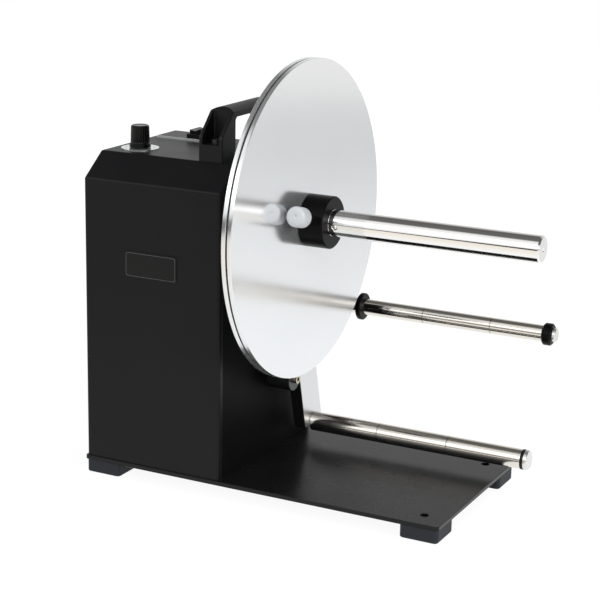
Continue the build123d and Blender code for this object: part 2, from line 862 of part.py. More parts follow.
add("spindle_gear", make_spindle_gear())
add("gear_key", make_gear_key())
add("motor_pinion", make_motor_pinion())
add(
    "motor_output_shaft",
    rod_x(motor_shaft_radius, gearbox_back + 9.0, pinion_station + pinion_width + 1.0, 0, motor_z),
)
add("gearbox", make_gearbox())
add("motor", make_motor())
add("motor_bracket", make_motor_bracket())
add(
    "gearbox_screws",
    [
        facing(motor_plate_front, y, z, "+x")
        * button_screw(gearbox_screw_radius, motor_plate_thickness + 6.0, 2.4, 1.6)
        for y, z in gearbox_screw_places
    ],
)


# ---------------------------------------------------------------- discs, hub and thumb screw
def make_disc(back, front, chamfer_size=0.5):
    """Flat turned disc with broken rim edges and a bore for the core shaft."""
    disc = rod_x(disc_radius, back, front)
    disc = chamfer(disc.edges().filter_by(GeomType.CIRCLE), chamfer_size)
    return disc - rod_x(core_shaft_radius + running_gap, back - 1, front + 1)


hub_screw_radius = 1.5
hub_screw_length = 12.0
hub_screw_places = [
    (hub_screw_circle * cos(radians(angle)), axis_z + hub_screw_circle * sin(radians(angle)))
    for angle in (76, 196, 316)
]


def make_front_disc():
    """Front disc, countersunk from behind for the hub screws."""
    disc = make_disc(front_disc_back, front_disc_front)
    for y, z in hub_screw_places:
        disc -= facing(front_disc_back, y, z, "-x") * countersink(hub_screw_radius, hub_screw_length)
    return disc


def thumb_place(reach):
    """Location on the thumb screw's axis, local +Z pointing out of the hub."""
    angle = radians(thumb_angle)
    middle = (front_disc_front + hub_front) / 2
    return Location((middle, reach * cos(angle), axis_z + reach * sin(angle)), (thumb_angle - 90, 0, 0))


def make_flange_hub():
    """Clamping hub with a through bore, chamfered ends and a tapped cross hole."""
    hub = rod_x(hub_radius, front_disc_front, hub_front)
    hub = chamfer(hub.edges().filter_by(GeomType.CIRCLE).sort_by(Axis.X)[-1], 1.0)
    hub -= rod_x(core_shaft_radius + running_gap, front_disc_front - 1, hub_front + 1)
    hub -= thumb_place(0) * rod_z(thumb_stud_radius + running_gap, 0, hub_radius + 2)
    for y, z in hub_screw_places:
        hub -= facing(front_disc_back, y, z, "-x") * countersink(hub_screw_radius, hub_screw_length)
    return hub


stud_foot = core_shaft_radius + 0.1
knob_inner_face = thumb_knob_reach - thumb_knob_length
stud_seat_depth = 8.0


def make_thumb_stud():
    """Threaded stud that presses on the core shaft."""
    return thumb_place(0) * rod_z(thumb_stud_radius, stud_foot, knob_inner_face + stud_seat_depth)


def make_thumb_knob():
    """Round knob with straight knurling, bored for the stud."""
    outline = revolve_z(
        [
            (thumb_stud_radius + running_gap, 0),
            (thumb_knob_radius - 2.5, 0),
            (thumb_knob_radius, 2.0),
            (thumb_knob_radius, thumb_knob_length - 1.0),
            (thumb_knob_radius - 1.0, thumb_knob_length),
            (0, thumb_knob_length),
            (0, stud_seat_depth + 0.1),
            (thumb_stud_radius + running_gap, stud_seat_depth + 0.1),
        ],
        0,
        0,
    )
    grooves = 20
    for index in range(grooves):
        angle = 2 * pi * index / grooves
        x, y = (thumb_knob_radius + 0.35) * cos(angle), (thumb_knob_radius + 0.35) * sin(angle)
        outline -= rod_z(0.8, 2.5, thumb_knob_length + 1, x, y)
    return thumb_place(knob_inner_face) * outline


add("rear_flange_disc", make_disc(rear_disc_back, rear_disc_front))
add("separator_liner", tube_x(liner_radius, core_shaft_radius + running_gap, rear_disc_front, liner_front))
add("front_flange_disc", make_front_disc())
add("flange_hub", make_flange_hub())
add(
    "hub_screws",
    [
        facing(front_disc_back, y, z, "-x") * countersunk_screw(hub_screw_radius, hub_screw_length)
        for y, z in hub_screw_places
    ],
)
add("thumb_stud", make_thumb_stud())
add("thumb_knob", make_thumb_knob())


# ---------------------------------------------------------------- tension arm
def arm_frame():
    """Location at the spindle axis whose local -Z runs down the arm."""
    return Location((arm_back, 0, axis_z), (arm_rest_angle, 0, 0))


bush_outer = nose_radius + running_gap + bush_wall
bush_flange_radius = nose_radius + 9.0


def make_tension_arm():
    """Flat bar hanging from a round boss, cut level with the base at its lower end."""
    reach = arm_roller_radius + arm_width
    bar = arm_frame() * block(0, arm_thickness, -arm_width / 2, arm_width / 2, -reach, 0)
    bar -= block(arm_back - 1, arm_front + 1, -reach, reach, arm_end_height - reach, arm_end_height)
    bar = chamfer(bar.edges().filter_by(Axis.X).group_by(Axis.Z)[0], arm_corner)
    arm = bar + rod_x(arm_boss_radius, arm_back, arm_front)
    arm = chamfer(arm.faces().filter_by(Axis.X).edges(), arm_edge_break)
    arm = arm - rod_x(bush_outer + fit_gap, arm_back - 1, arm_front + 1)
    return arm - rod_x(tension_stub_radius + fit_gap, arm_back - 1, arm_front + 1, arm_roller_y, arm_roller_z)


tension_tube_back = arm_front + end_gap
tension_tube_front = tension_tube_back + tension_tube_length
tension_cap_back = tension_tube_front + tension_ring_width + 0.2
tension_cap_front = tension_cap_back + tension_cap_length
nut_thickness = 5.0


def make_tension_axle():
    """Fixed axle: stub through the arm, then the roller's running length."""
    axle = rod_x(tension_axle_radius, arm_front, tension_cap_back, arm_roller_y, arm_roller_z)
    stub_back = arm_back - nut_thickness - 1.0
    return axle + rod_x(tension_stub_radius, stub_back, arm_front, arm_roller_y, arm_roller_z)


def ring_marks(tube, radius, y, z):
    """Cuts the two narrow turned rings that mark web widths on a roller."""
    for station in roller_mark_stations:
        half = roller_mark_width / 2
        tube -= tube_x(radius + 1, radius - roller_mark_depth, station - half, station + half, y, z)
    return tube


def roller_plug(bore, axle, face_from, face_to, face_radius, into, tube_face, y, z):
    """Plain bearing plug: a face outside the tube and a spigot pressed into it."""
    low, high = sorted((tube_face, tube_face + into))
    plug = rod_x(face_radius, face_from, face_to, y, z) + rod_x(bore - fit_gap, low, high, y, z)
    return plug - rod_x(axle + running_gap, min(low, face_from) - 1, max(high, face_to) + 1, y, z)


def make_end_cap(radius, back, front, y, z):
    """Domed end cap with a hexagon socket."""
    cap = rod_x(radius, back, front, y, z)
    cap = chamfer(cap.edges().filter_by(GeomType.CIRCLE).sort_by(Axis.X)[-1], 0.8)
    return cap - hexagon_x(5.0, front - 2.2, front + 1, y, z)


add("tension_arm", make_tension_arm())
add(
    "arm_bush",
    tube_x(bush_outer, nose_radius + running_gap, arm_back, arm_front)
    + tube_x(bush_flange_radius, nose_radius + running_gap, flange_outer + 0.1, arm_back),
)
add("arm_retaining_ring", make_circlip(nose_radius - 1.3, nose_radius + 4.0, arm_front + 0.3, 1.6, 12.0))
add("tension_axle", make_tension_axle())
add(
    "tension_axle_nut",
    hexagon_x(13.0, arm_back - nut_thickness, arm_back, arm_roller_y, arm_roller_z)
    - rod_x(tension_stub_radius + screw_gap, arm_back - 20, arm_back + 1, arm_roller_y, arm_roller_z),
)
add(
    "tension_tube",
    ring_marks(
        tube_x(
            tension_tube_radius,
            tension_tube_bore,
            tension_tube_back,
            tension_tube_front,
            arm_roller_y,
            arm_roller_z,
        ),
        tension_tube_radius,
        arm_roller_y,
        arm_roller_z,
    ),
)
add(
    "tension_plugs",
    [
        roller_plug(
            tension_tube_bore,
            tension_axle_radius,
            tension_tube_back,
            tension_tube_back + 1,
            tension_tube_bore - fit_gap,
            roller_plug_length,
            tension_tube_back,
            arm_roller_y,
            arm_roller_z,
        ),
        roller_plug(
            tension_tube_bore,
            tension_axle_radius,
            tension_tube_front,
            tension_tube_front + tension_ring_width,
            tension_tube_radius + 0.15,
            -roller_plug_length,
            tension_tube_front,
            arm_roller_y,
            arm_roller_z,
        ),
    ],
)
add(
    "tension_end_cap",
    make_end_cap(tension_tube_radius - 0.05, tension_cap_back, tension_cap_front, arm_roller_y, arm_roller_z),
)

# ---------------------------------------------------------------- guide roller
guide_shoulder_end = bracket_front_face + guide_shoulder_length
guide_flange_back = guide_shoulder_end + 0.2
guide_tube_back = guide_flange_back + guide_flange_width
guide_tube_front = guide_tube_back + guide_tube_length
guide_cap_back = guide_tube_front + guide_ring_width + 0.2


def make_guide_bracket():
    """Flat bar with rounded ends, screwed to the side wall and reaching past its rear edge."""
    half = bracket_width / 2
    low, high = guide_z - half, guide_z + half
    bar = block(housing_right, bracket_front_face, bracket_front + half, guide_y, low, high)
    bar += rod_x(half, housing_right, bracket_front_face, guide_y, guide_z)
    bar += rod_x(half, housing_right, bracket_front_face, bracket_front + half, guide_z)
    bar = chamfer(bar.faces().sort_by(Axis.X)[-1].edges(), edge_break)
    bar -= rod_x(guide_axle_radius + fit_gap, housing_right - 1, bracket_front_face + 1, guide_y, guide_z)
    for y in bracket_screw_y:
        bar -= rod_x(cover_screw_radius + screw_gap, housing_right - 1, bracket_front_face + 1, y, guide_z)
    return bar


add("guide_bracket", make_guide_bracket())
add(
    "guide_axle",
    rod_x(guide_axle_radius, housing_right - nut_thickness - 1, guide_cap_back, guide_y, guide_z)
    + rod_x(guide_shoulder_radius, bracket_front_face, guide_shoulder_end, guide_y, guide_z),
)
add(
    "guide_axle_nut",
    hexagon_x(13.0, housing_right - nut_thickness, housing_right, guide_y, guide_z)
    - rod_x(guide_axle_radius + screw_gap, housing_right - 20, housing_right + 1, guide_y, guide_z),
)
add(
    "guide_flange",
    chamfer(
        roller_plug(
            guide_tube_bore,
            guide_axle_radius,
            guide_flange_back,
            guide_tube_back,
            guide_flange_radius,
            roller_plug_length,
            guide_tube_back,
            guide_y,
            guide_z,
        )
        .edges()
        .filter_by(GeomType.CIRCLE)
        .filter_by(lambda edge: edge.radius > guide_flange_radius - 0.01),
        0.8,
    ),
)
add(
    "guide_tube",
    ring_marks(
        tube_x(guide_tube_radius, guide_tube_bore, guide_tube_back, guide_tube_front, guide_y, guide_z),
        guide_tube_radius,
        guide_y,
        guide_z,
    ),
)
add(
    "guide_end_ring",
    chamfer(
        roller_plug(
            guide_tube_bore,
            guide_axle_radius,
            guide_tube_front,
            guide_tube_front + guide_ring_width,
            guide_ring_radius,
            -roller_plug_length,
            guide_tube_front,
            guide_y,
            guide_z,
        )
        .edges()
        .filter_by(GeomType.CIRCLE)
        .filter_by(lambda edge: edge.radius > guide_ring_radius - 0.01),
        1.5,
    ),
)
guide_cap_front = guide_cap_back + guide_cap_length
add("guide_end_cap", make_end_cap(guide_cap_radius, guide_cap_back, guide_cap_front, guide_y, guide_z))

# ---------------------------------------------------------------- stop post
stop_end = housing_right + stop_length
stop_screw_radius = 2.5


def make_stop_core():
    """Steel post with a stub through the side wall and a tapped end."""
    core = rod_x(stop_core_radius, housing_right, stop_end, stop_y, stop_z)
    core += rod_x(stop_stud_radius, housing_right - stop_stud_length, housing_right, stop_y, stop_z)
    return core - rod_x(stop_screw_radius + screw_gap, stop_end - 12.0, stop_end + 1, stop_y, stop_z)


def make_stop_screw():
    """Socket head cap screw in the end of the post."""
    seat = stop_end + stop_washer_thickness
    head = rod_x(4.25, seat, seat + 4.0, stop_y, stop_z)
    shank = rod_x(stop_screw_radius, stop_end - 11.0, seat, stop_y, stop_z)
    return head + shank - hexagon_x(4.0, seat + 1.5, seat + 5.0, stop_y, stop_z)


add("stop_core", make_stop_core())
add(
    "stop_sleeve",
    tube_x(stop_sleeve_radius, stop_core_radius + fit_gap, housing_right + 0.3, stop_end, stop_y, stop_z),
)
add(
    "stop_washer",
    tube_x(
        stop_sleeve_radius - 0.3,
        stop_screw_radius + screw_gap,
        stop_end,
        stop_end + stop_washer_thickness,
        stop_y,
        stop_z,
    ),
)
add("stop_screw", make_stop_screw())


# ---------------------------------------------------------------- controls
dial_top = housing_top + dial_thickness
knob_bottom = dial_top + 0.3
knob_top = knob_bottom + knob_height


def make_dial_plate():
    """Thin round plate on the top, clamped under the potentiometer's bush."""
    bore = pot_bush_radius + screw_gap
    profile = [(bore, housing_top), (dial_radius, housing_top), (dial_radius, dial_top), (bore, dial_top)]
    return revolve_z(profile, dial_x, dial_y)


def make_speed_knob():
    """Tapered round knob on a stepped skirt, with a pointer notch and a bore for its shaft."""
    knob = revolve_z(
        [
            (0, knob_bottom + 12.0),
            (pot_shaft_radius + fit_gap, knob_bottom + 12.0),
            (pot_shaft_radius + fit_gap, knob_bottom),
            (knob_skirt_radius, knob_bottom),
            (knob_skirt_radius, knob_bottom + knob_skirt_height - 0.8),
            (knob_skirt_radius - 0.8, knob_bottom + knob_skirt_height),
            (knob_radius + 0.3, knob_bottom + knob_skirt_height),
            (knob_radius, knob_top - 0.8),
            (knob_radius - 0.8, knob_top),
            (0, knob_top),
        ],
        dial_x,
        dial_y,
    )
    notch = block(knob_radius - 3.5, knob_radius + 1, -0.6, 0.6, -3.0, 1)
    notch = Location((dial_x, dial_y, knob_top), (0, 0, 135)) * notch
    return knob - notch


def make_potentiometer():
    """Potentiometer body under the top, with its threaded bush and nut."""
    under = housing_top - sheet
    body = rod_z(pot_body_radius, under - pot_body_height, under, dial_x, dial_y)
    body += rod_z(pot_bush_radius, under, housing_top + dial_thickness, dial_x, dial_y)
    return body - rod_z(pot_shaft_radius - 0.5 + running_gap, under - 5.0, housing_top + 3, dial_x, dial_y)


def make_pot_shaft():
    """Control shaft that the knob is pressed on, turned down inside the bush."""
    low = housing_top - sheet - 4.8
    shaft = rod_z(pot_shaft_radius - 0.5, low, dial_top + 0.1, dial_x, dial_y)
    return shaft + rod_z(pot_shaft_radius, dial_top + 0.1, knob_bottom + 11.8, dial_x, dial_y)


plate_top = housing_top + switch_plate_thickness


def make_switch_plate():
    """Raised rectangular plate at the rear of the top, cut out for the switch."""
    plate = block(
        switch_plate_left,
        switch_plate_left + switch_plate_width,
        switch_plate_front,
        switch_plate_back,
        housing_top,
        plate_top,
    )
    plate = chamfer(plate.faces().sort_by(Axis.Z)[-1].edges(), edge_break)
    cut = block(
        switch_left + switch_cut_margin,
        switch_left + switch_width - switch_cut_margin,
        switch_front + switch_cut_margin,
        switch_front + switch_depth - switch_cut_margin,
        housing_top - 1,
        plate_top + 1,
    )
    return plate - cut


rocker_margin = 2.2
rocker_axis_z = plate_top + 1.2
switch_middle = switch_left + switch_width / 2
rocker_wall_gap = 0.25
rocker_pivot_radius = 1.2


def make_switch_body():
    """Switch body: bezel on the plate, box below it, open on top for the rocker."""
    bezel = block(
        switch_left,
        switch_left + switch_width,
        switch_front,
        switch_front + switch_depth,
        plate_top,
        plate_top + switch_bezel_height,
    )
    bezel = chamfer(bezel.edges().filter_by(Axis.Z), 1.0)
    bezel = chamfer(bezel.faces().sort_by(Axis.Z)[-1].edges(), edge_break)
    under = block(
        switch_left + switch_cut_margin + screw_gap,
        switch_left + switch_width - switch_cut_margin - screw_gap,
        switch_front + switch_cut_margin + screw_gap,
        switch_front + switch_depth - switch_cut_margin - screw_gap,
        housing_top - 14.0,
        plate_top,
    )
    well = block(
        switch_left + rocker_margin,
        switch_left + switch_width - rocker_margin,
        switch_front + rocker_margin,
        switch_front + switch_depth - rocker_margin,
        housing_top - 6.0,
        plate_top + switch_bezel_height + 1,
    )
    pivot = rod_y(
        rocker_pivot_radius,
        switch_front + rocker_margin / 2,
        switch_front + switch_depth - rocker_margin / 2,
        switch_middle,
        rocker_axis_z,
    )
    return (bezel + under - well) + pivot


def make_switch_rocker():
    """Two-winged rocker on the body's pivot, standing with its left wing down."""
    half = switch_width / 2 - rocker_margin - rocker_wall_gap - 0.9
    low = switch_front + rocker_margin + rocker_wall_gap
    high = switch_front + switch_depth - rocker_margin - rocker_wall_gap
    outline = [(-half, -1.5), (-half, 7.4), (0, 5.6), (half, 7.4), (half, -1.5), (0, -3.0)]
    face = make_face(Polyline([(x, 0, z) for x, z in outline], close=True))
    wing = extrude(face, amount=high - low, dir=(0, 1, 0))
    turned = Location((switch_middle, low, rocker_axis_z), (0, -rocker_tilt, 0)) * wing
    return turned - rod_y(rocker_pivot_radius + running_gap, low - 1, high + 1, switch_middle, rocker_axis_z)


def make_dc_inlet():
    """Round low-voltage inlet in the rear wall, with a nut inside and a centre pin."""
    body = rod_y(inlet_radius, housing_rear - 14.0, housing_rear, inlet_x, inlet_z)
    body += rod_y(inlet_radius + 1.5, housing_rear, housing_rear + 1.5, inlet_x, inlet_z)
    body -= rod_y(3.0, housing_rear - 9.0, housing_rear + 2, inlet_x, inlet_z)
    pin = rod_y(1.0, housing_rear - 10.0, housing_rear - 0.5, inlet_x, inlet_z)
    nut = rod_y(inlet_radius + 2.5, housing_rear - sheet - 2.0, housing_rear - sheet, inlet_x, inlet_z)
    return body + pin + nut


def make_control_board():
    """Speed control board with its main components, standing off the left wall."""
    face = left_panel_back + standoff_length
    top = face + board_thickness
    front, rear = board_front, board_front + board_depth
    part_front, part_rear = front + board_part_margin, rear - board_part_margin
    board = block(face, top, front, rear, board_bottom, board_bottom + board_height)
    sink_top = heat_sink_z + heat_sink_thickness
    board += block(top, top + heat_sink_reach, part_front, part_rear, heat_sink_z, sink_top)
    for y in (part_front + capacitor_radius - 1.0, part_rear - 2 * capacitor_radius):
        board += rod_x(capacitor_radius, top, top + capacitor_length, y, capacitor_z)
    board += block(top, top + terminal_height, part_front, part_rear, terminal_z, terminal_z + terminal_height)
    for y, z in standoff_places:
        board -= rod_x(1.6, face - 1, top + 1, y, z)
    return board


add("dial_plate", make_dial_plate())
add("speed_knob", make_speed_knob())
add("potentiometer", make_potentiometer())
add("pot_shaft", make_pot_shaft())
add("switch_plate", make_switch_plate())
add("switch_body", make_switch_body())
add("switch_rocker", make_switch_rocker())
add("dc_inlet", make_dc_inlet())
add("control_board", make_control_board())


# ---------------------------------------------------------------- carrying handle
handle_top = housing_top + handle_height
handle_shoulder = handle_top - handle_crown
handle_bend = housing_top + handle_upright
handle_lean = (handle_top - handle_bend) / tan(radians(handle_lean_angle))
handle_bend_radius = 5.0
handle_edge_radius = 1.2


def handle_side():
    """Side view of the handle as (y, z) corners: uprights, leaning fronts and a level top."""
    return [
        (handle_front, housing_top),
        (handle_front, handle_bend),
        (handle_front + handle_lean, handle_top),
        (handle_rear - handle_lean, handle_top),
        (handle_rear, handle_bend),
        (handle_rear, housing_top),
    ]


def handle_crowned_bar():
    """Straight bar along the whole handle whose top is arched across its width."""
    right = handle_left + handle_width
    start = handle_front - 1
    low_left = Vector(handle_left, start, housing_top)
    low_right = Vector(right, start, housing_top)
    high_left = Vector(handle_left, start, handle_shoulder)
    high_right = Vector(right, start, handle_shoulder)
    crown = Vector(handle_middle, start, handle_top)
    outline = [Line(low_left, low_right), Line(low_right, high_right)]
    outline += [ThreePointArc(high_right, crown, high_left), Line(high_left, low_left)]
    return extrude(make_face(outline), amount=handle_rear - handle_front + 2, dir=(0, 1, 0))


def make_carry_handle():
    """Bridge handle: crowned bar on two scooped legs whose fronts lean back to it."""
    handle = prism_x(handle_side(), handle_left, handle_left + handle_width)
    bends = [edge for edge in handle.edges().filter_by(Axis.X) if abs(edge.center().Z - handle_bend) < 0.1]
    handle = fillet(bends, handle_bend_radius) & handle_crowned_bar()
    rims = [edge for edge in handle.edges() if edge.center().Z > housing_top + 0.5 and edge.length > 3.0]
    handle = fillet(rims, handle_edge_radius)
    window = block(
        handle_left - 1,
        handle_left + handle_width + 1,
        handle_front + handle_leg,
        handle_rear - handle_leg,
        housing_top - 1,
        housing_top + handle_grip_height,
    )
    handle -= fillet(window.edges().filter_by(Axis.X).group_by(Axis.Z)[-1], 4.0)
    pocket_low = housing_top + handle_pocket_floor
    for outer, inner in (
        (handle_front - 1, handle_front + handle_pocket_depth),
        (handle_rear + 1, handle_rear - handle_pocket_depth),
    ):
        near, far = sorted((outer, inner))
        pocket = block(
            handle_middle - handle_pocket_width / 2,
            handle_middle + handle_pocket_width / 2,
            near,
            far,
            pocket_low,
            handle_top + 1,
        )
        handle -= fillet(pocket.edges().filter_by(Axis.Z), 1.5)
    for y in handle_screw_y:
        handle -= rod_z(handle_screw_radius + screw_gap, housing_top - 1, pocket_low + 1, handle_middle, y)
    return handle


def make_handle_screw(y):
    """Cap screw down through a leg, with a nut under the housing top."""
    floor = housing_top + handle_pocket_floor
    head = rod_z(4.2, floor, floor + 4.0, handle_middle, y)
    shank = rod_z(handle_screw_radius, housing_top - sheet - 6.0, floor, handle_middle, y)
    nut = Location((handle_middle, y, housing_top - sheet - 4.0)) * extrude(
        RegularPolygon(4.0, 6, major_radius=False), amount=4.0
    )
    socket = Location((handle_middle, y, floor + 1.5)) * extrude(RegularPolygon(2.0, 6), amount=4.0)
    return head + shank + nut - socket


add("carry_handle", make_carry_handle())
add("handle_screws", [make_handle_screw(y) for y in handle_screw_y])

# ---------------------------------------------------------------- stored origin and files
front_reach = -disc_radius
rear_reach = guide_y + guide_flange_radius
stored_origin = Location((-core_shaft_end / 2, -(front_reach + rear_reach) / 2, 0))

os.makedirs("parts", exist_ok=True)
for name, shape in nodes.items():
    solids = []
    for piece in shape if isinstance(shape, list) else [shape]:
        solids += piece.solids()
    moved = [stored_origin * solid for solid in solids]
    export_step(moved[0] if len(moved) == 1 else Compound(children=moved), f"parts/{name}.step")

# How far the tension arm swings before its rear edge meets the guide roller's spacer.
guide_radius = hypot(guide_y, axis_z - guide_z)
guide_angle = degrees(atan2(guide_y, axis_z - guide_z))
clear_angle = degrees(asin((arm_width / 2 + guide_shoulder_radius + seat_gap) / guide_radius))
arm_swing = guide_angle - clear_angle - arm_rest_angle
print("nodes", len(nodes))
print("arm swing, degrees", round(arm_swing, 2))
print("stored origin in the drawing frame", -stored_origin.position.X, -stored_origin.position.Y)
print("bench holes", bench_hole_x, bench_hole_y, "axis height", axis_z)
print("hub front", hub_front, "rocker axis", switch_middle, rocker_axis_z)
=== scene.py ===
"""Finishes, small turned and moulded pieces, studio and camera for the bench-top label rewinder."""

import logging
import math
from dataclasses import dataclass, field, replace
from enum import Enum
from typing import Dict, List, Optional, Sequence, Tuple, Union

import bmesh
import bpy
import numpy as np
from mathutils import Matrix, Vector


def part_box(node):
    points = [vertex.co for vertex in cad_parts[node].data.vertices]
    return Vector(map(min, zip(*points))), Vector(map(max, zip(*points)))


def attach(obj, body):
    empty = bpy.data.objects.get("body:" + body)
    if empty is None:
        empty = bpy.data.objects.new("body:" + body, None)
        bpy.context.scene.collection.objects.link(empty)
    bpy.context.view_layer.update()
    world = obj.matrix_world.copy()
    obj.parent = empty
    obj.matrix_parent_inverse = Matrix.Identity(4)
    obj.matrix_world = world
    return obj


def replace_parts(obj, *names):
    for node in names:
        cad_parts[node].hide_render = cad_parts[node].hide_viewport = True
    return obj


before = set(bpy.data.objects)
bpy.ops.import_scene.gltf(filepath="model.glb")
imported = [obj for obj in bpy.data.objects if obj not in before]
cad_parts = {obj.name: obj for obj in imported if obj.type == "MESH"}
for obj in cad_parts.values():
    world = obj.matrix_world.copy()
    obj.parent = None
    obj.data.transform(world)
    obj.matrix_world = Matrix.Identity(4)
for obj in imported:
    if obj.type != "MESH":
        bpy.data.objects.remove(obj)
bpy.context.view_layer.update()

log = logging.getLogger("label_rewinder")

Colour = Tuple[float, float, float]
Point = Tuple[float, float, float]
Pair = Tuple[float, float]

MM = 0.001
WHITE: Colour = (1.0, 1.0, 1.0)


def grey(level: float) -> Colour:
    """The neutral colour of a level."""
    return (level, level, level)


class Ray(Enum):
    """Kinds of light path that the studio tells apart."""

    CAMERA = "Is Camera Ray"
    GLOSSY = "Is Glossy Ray"
    TRANSMISSION = "Is Transmission Ray"


class Wire:
    """A shader socket that takes part in Python arithmetic."""

    def __init__(self, recipe: "Recipe", socket: bpy.types.NodeSocket) -> None:
        """Keeps the recipe that owns the socket, and the socket."""
        self.recipe = recipe
        self.socket = socket

    def _math(self, operation: str, *others: "Operand") -> "Wire":
        """Adds one Math node.

        Args:
            operation: the Math node's operation.
            others: the operands after this one.

        Returns:
            The node's result.
        """
        inputs = {index: value for index, value in enumerate((self, *others))}
        return self.recipe.node("ShaderNodeMath", {"operation": operation}, inputs)

    def __add__(self, other: "Operand") -> "Wire":
        """Sum."""
        return self._math("ADD", other)

    __radd__ = __add__

    def __mul__(self, other: "Operand") -> "Wire":
        """Product."""
        return self._math("MULTIPLY", other)

    __rmul__ = __mul__

    def __sub__(self, other: "Operand") -> "Wire":
        """Difference."""
        return self._math("SUBTRACT", other)

    def __rsub__(self, other: float) -> "Wire":
        """Difference from a number."""
        return self * -1.0 + other

    def __truediv__(self, other: "Operand") -> "Wire":
        """Quotient."""
        return self._math("DIVIDE", other)

    def root(self) -> "Wire":
        """Square root."""
        return self._math("SQRT")

    def angle_with(self, other: "Operand") -> "Wire":
        """Angle whose tangent is this over the other, in radians."""
        return self._math("ARCTAN2", other)

    def clamped(self) -> "Wire":
        """This value held between 0 and 1."""
        return self.recipe.node("ShaderNodeClamp", {}, {"Value": self})


Operand = Union[Wire, float]


class Recipe:
    """Builds one material or world from nodes."""

    def __init__(self, tree: bpy.types.NodeTree) -> None:
        """Empties the node tree that it will fill."""
        self.tree = tree
        tree.nodes.clear()

    def node(
        self,
        kind: str,
        settings: Optional[Dict[str, object]] = None,
        inputs: Optional[Dict[Union[str, int], object]] = None,
        output: Union[str, int] = 0,
    ) -> Wire:
        """Adds one node, sets it up and links it.

        Args:
            kind: the node's Blender type.
            settings: attributes set first; "stops" fills a colour ramp with (position, colour) pairs.
            inputs: values or wires for its sockets, by name or number.
            output: the socket to return, by name or number.

        Returns:
            The chosen output.
        """
        made = self.tree.nodes.new(kind)
        for name, value in (settings or {}).items():
            if name == "stops":
                self._fill_ramp(made.color_ramp, value)
            else:
                setattr(made, name, value)
        for name, value in (inputs or {}).items():
            if isinstance(value, Wire):
                self.tree.links.new(value.socket, made.inputs[name])
            else:
                made.inputs[name].default_value = value
        return Wire(self, made.outputs[output]) if len(made.outputs) else Wire(self, None)

    @staticmethod
    def _fill_ramp(ramp: bpy.types.ColorRamp, stops: Sequence[Tuple[float, Colour]]) -> None:
        """Sets a ramp's stops, first and last included.

        Args:
            ramp: the ramp.
            stops: (position, colour) pairs, in order of position.
        """
        while len(ramp.elements) > 2:
            ramp.elements.remove(ramp.elements[-1])
        while len(ramp.elements) < len(stops):
            ramp.elements.new(0.5)
        for element, (position, colour) in zip(ramp.elements, stops):
            element.position = position
            element.color = (*colour, 1.0)

    def place(self) -> Wire:
        """Object coordinates, in metres in the machine's frame."""
        return self.node("ShaderNodeTexCoord", {}, {}, "Object")

    def split(self, vector: Wire) -> Tuple[Wire, Wire, Wire]:
        """The three parts of a vector."""
        made = self.node("ShaderNodeSeparateXYZ", {}, {0: vector}).socket.node
        return tuple(Wire(self, socket) for socket in made.outputs)

    def join(self, x: Operand, y: Operand, z: Operand) -> Wire:
        """A vector from three values."""
        return self.node("ShaderNodeCombineXYZ", {}, {0: x, 1: y, 2: z})

    def noise(self, where: Wire, scale: float, detail: float = 2.0) -> Wire:
        """Smooth noise between 0 and 1, by features per metre."""
        sockets = {"Vector": where, "Scale": scale, "Detail": detail}
        return self.node("ShaderNodeTexNoise", {}, sockets, "Fac")

    def blend(self, share: Operand, first: Union[Wire, Colour], second: Union[Wire, Colour]) -> Wire:
        """Mixes two colours.

        Args:
            share: how much of the second colour there is, between 0 and 1.
            first: the colour at 0.
            second: the colour at 1.

        Returns:
            The mixed colour.
        """
        as_colour = [value if isinstance(value, Wire) else (*value, 1.0) for value in (first, second)]
        settings = {"data_type": "RGBA", "clamp_factor": True}
        return self.node("ShaderNodeMix", settings, {0: share, 6: as_colour[0], 7: as_colour[1]}, 2)

    def relief(self, height: Wire, depth: float, strength: float) -> Wire:
        """A bumped normal from a height between 0 and 1, worth the depth in metres."""
        sockets = {"Height": height, "Distance": depth, "Strength": strength}
        return self.node("ShaderNodeBump", {}, sockets)

    def seen_by(self, *rays: Ray) -> Wire:
        """1 on light paths of the given kinds, 0 on the others."""
        paths = [self.node("ShaderNodeLightPath", {}, {}, ray.value) for ray in rays]
        return sum(paths[1:], paths[0]).clamped()

    def surface(self, shader: Wire) -> None:
        """Ends a material with its surface shader."""
        self.node("ShaderNodeOutputMaterial", {}, {"Surface": shader})


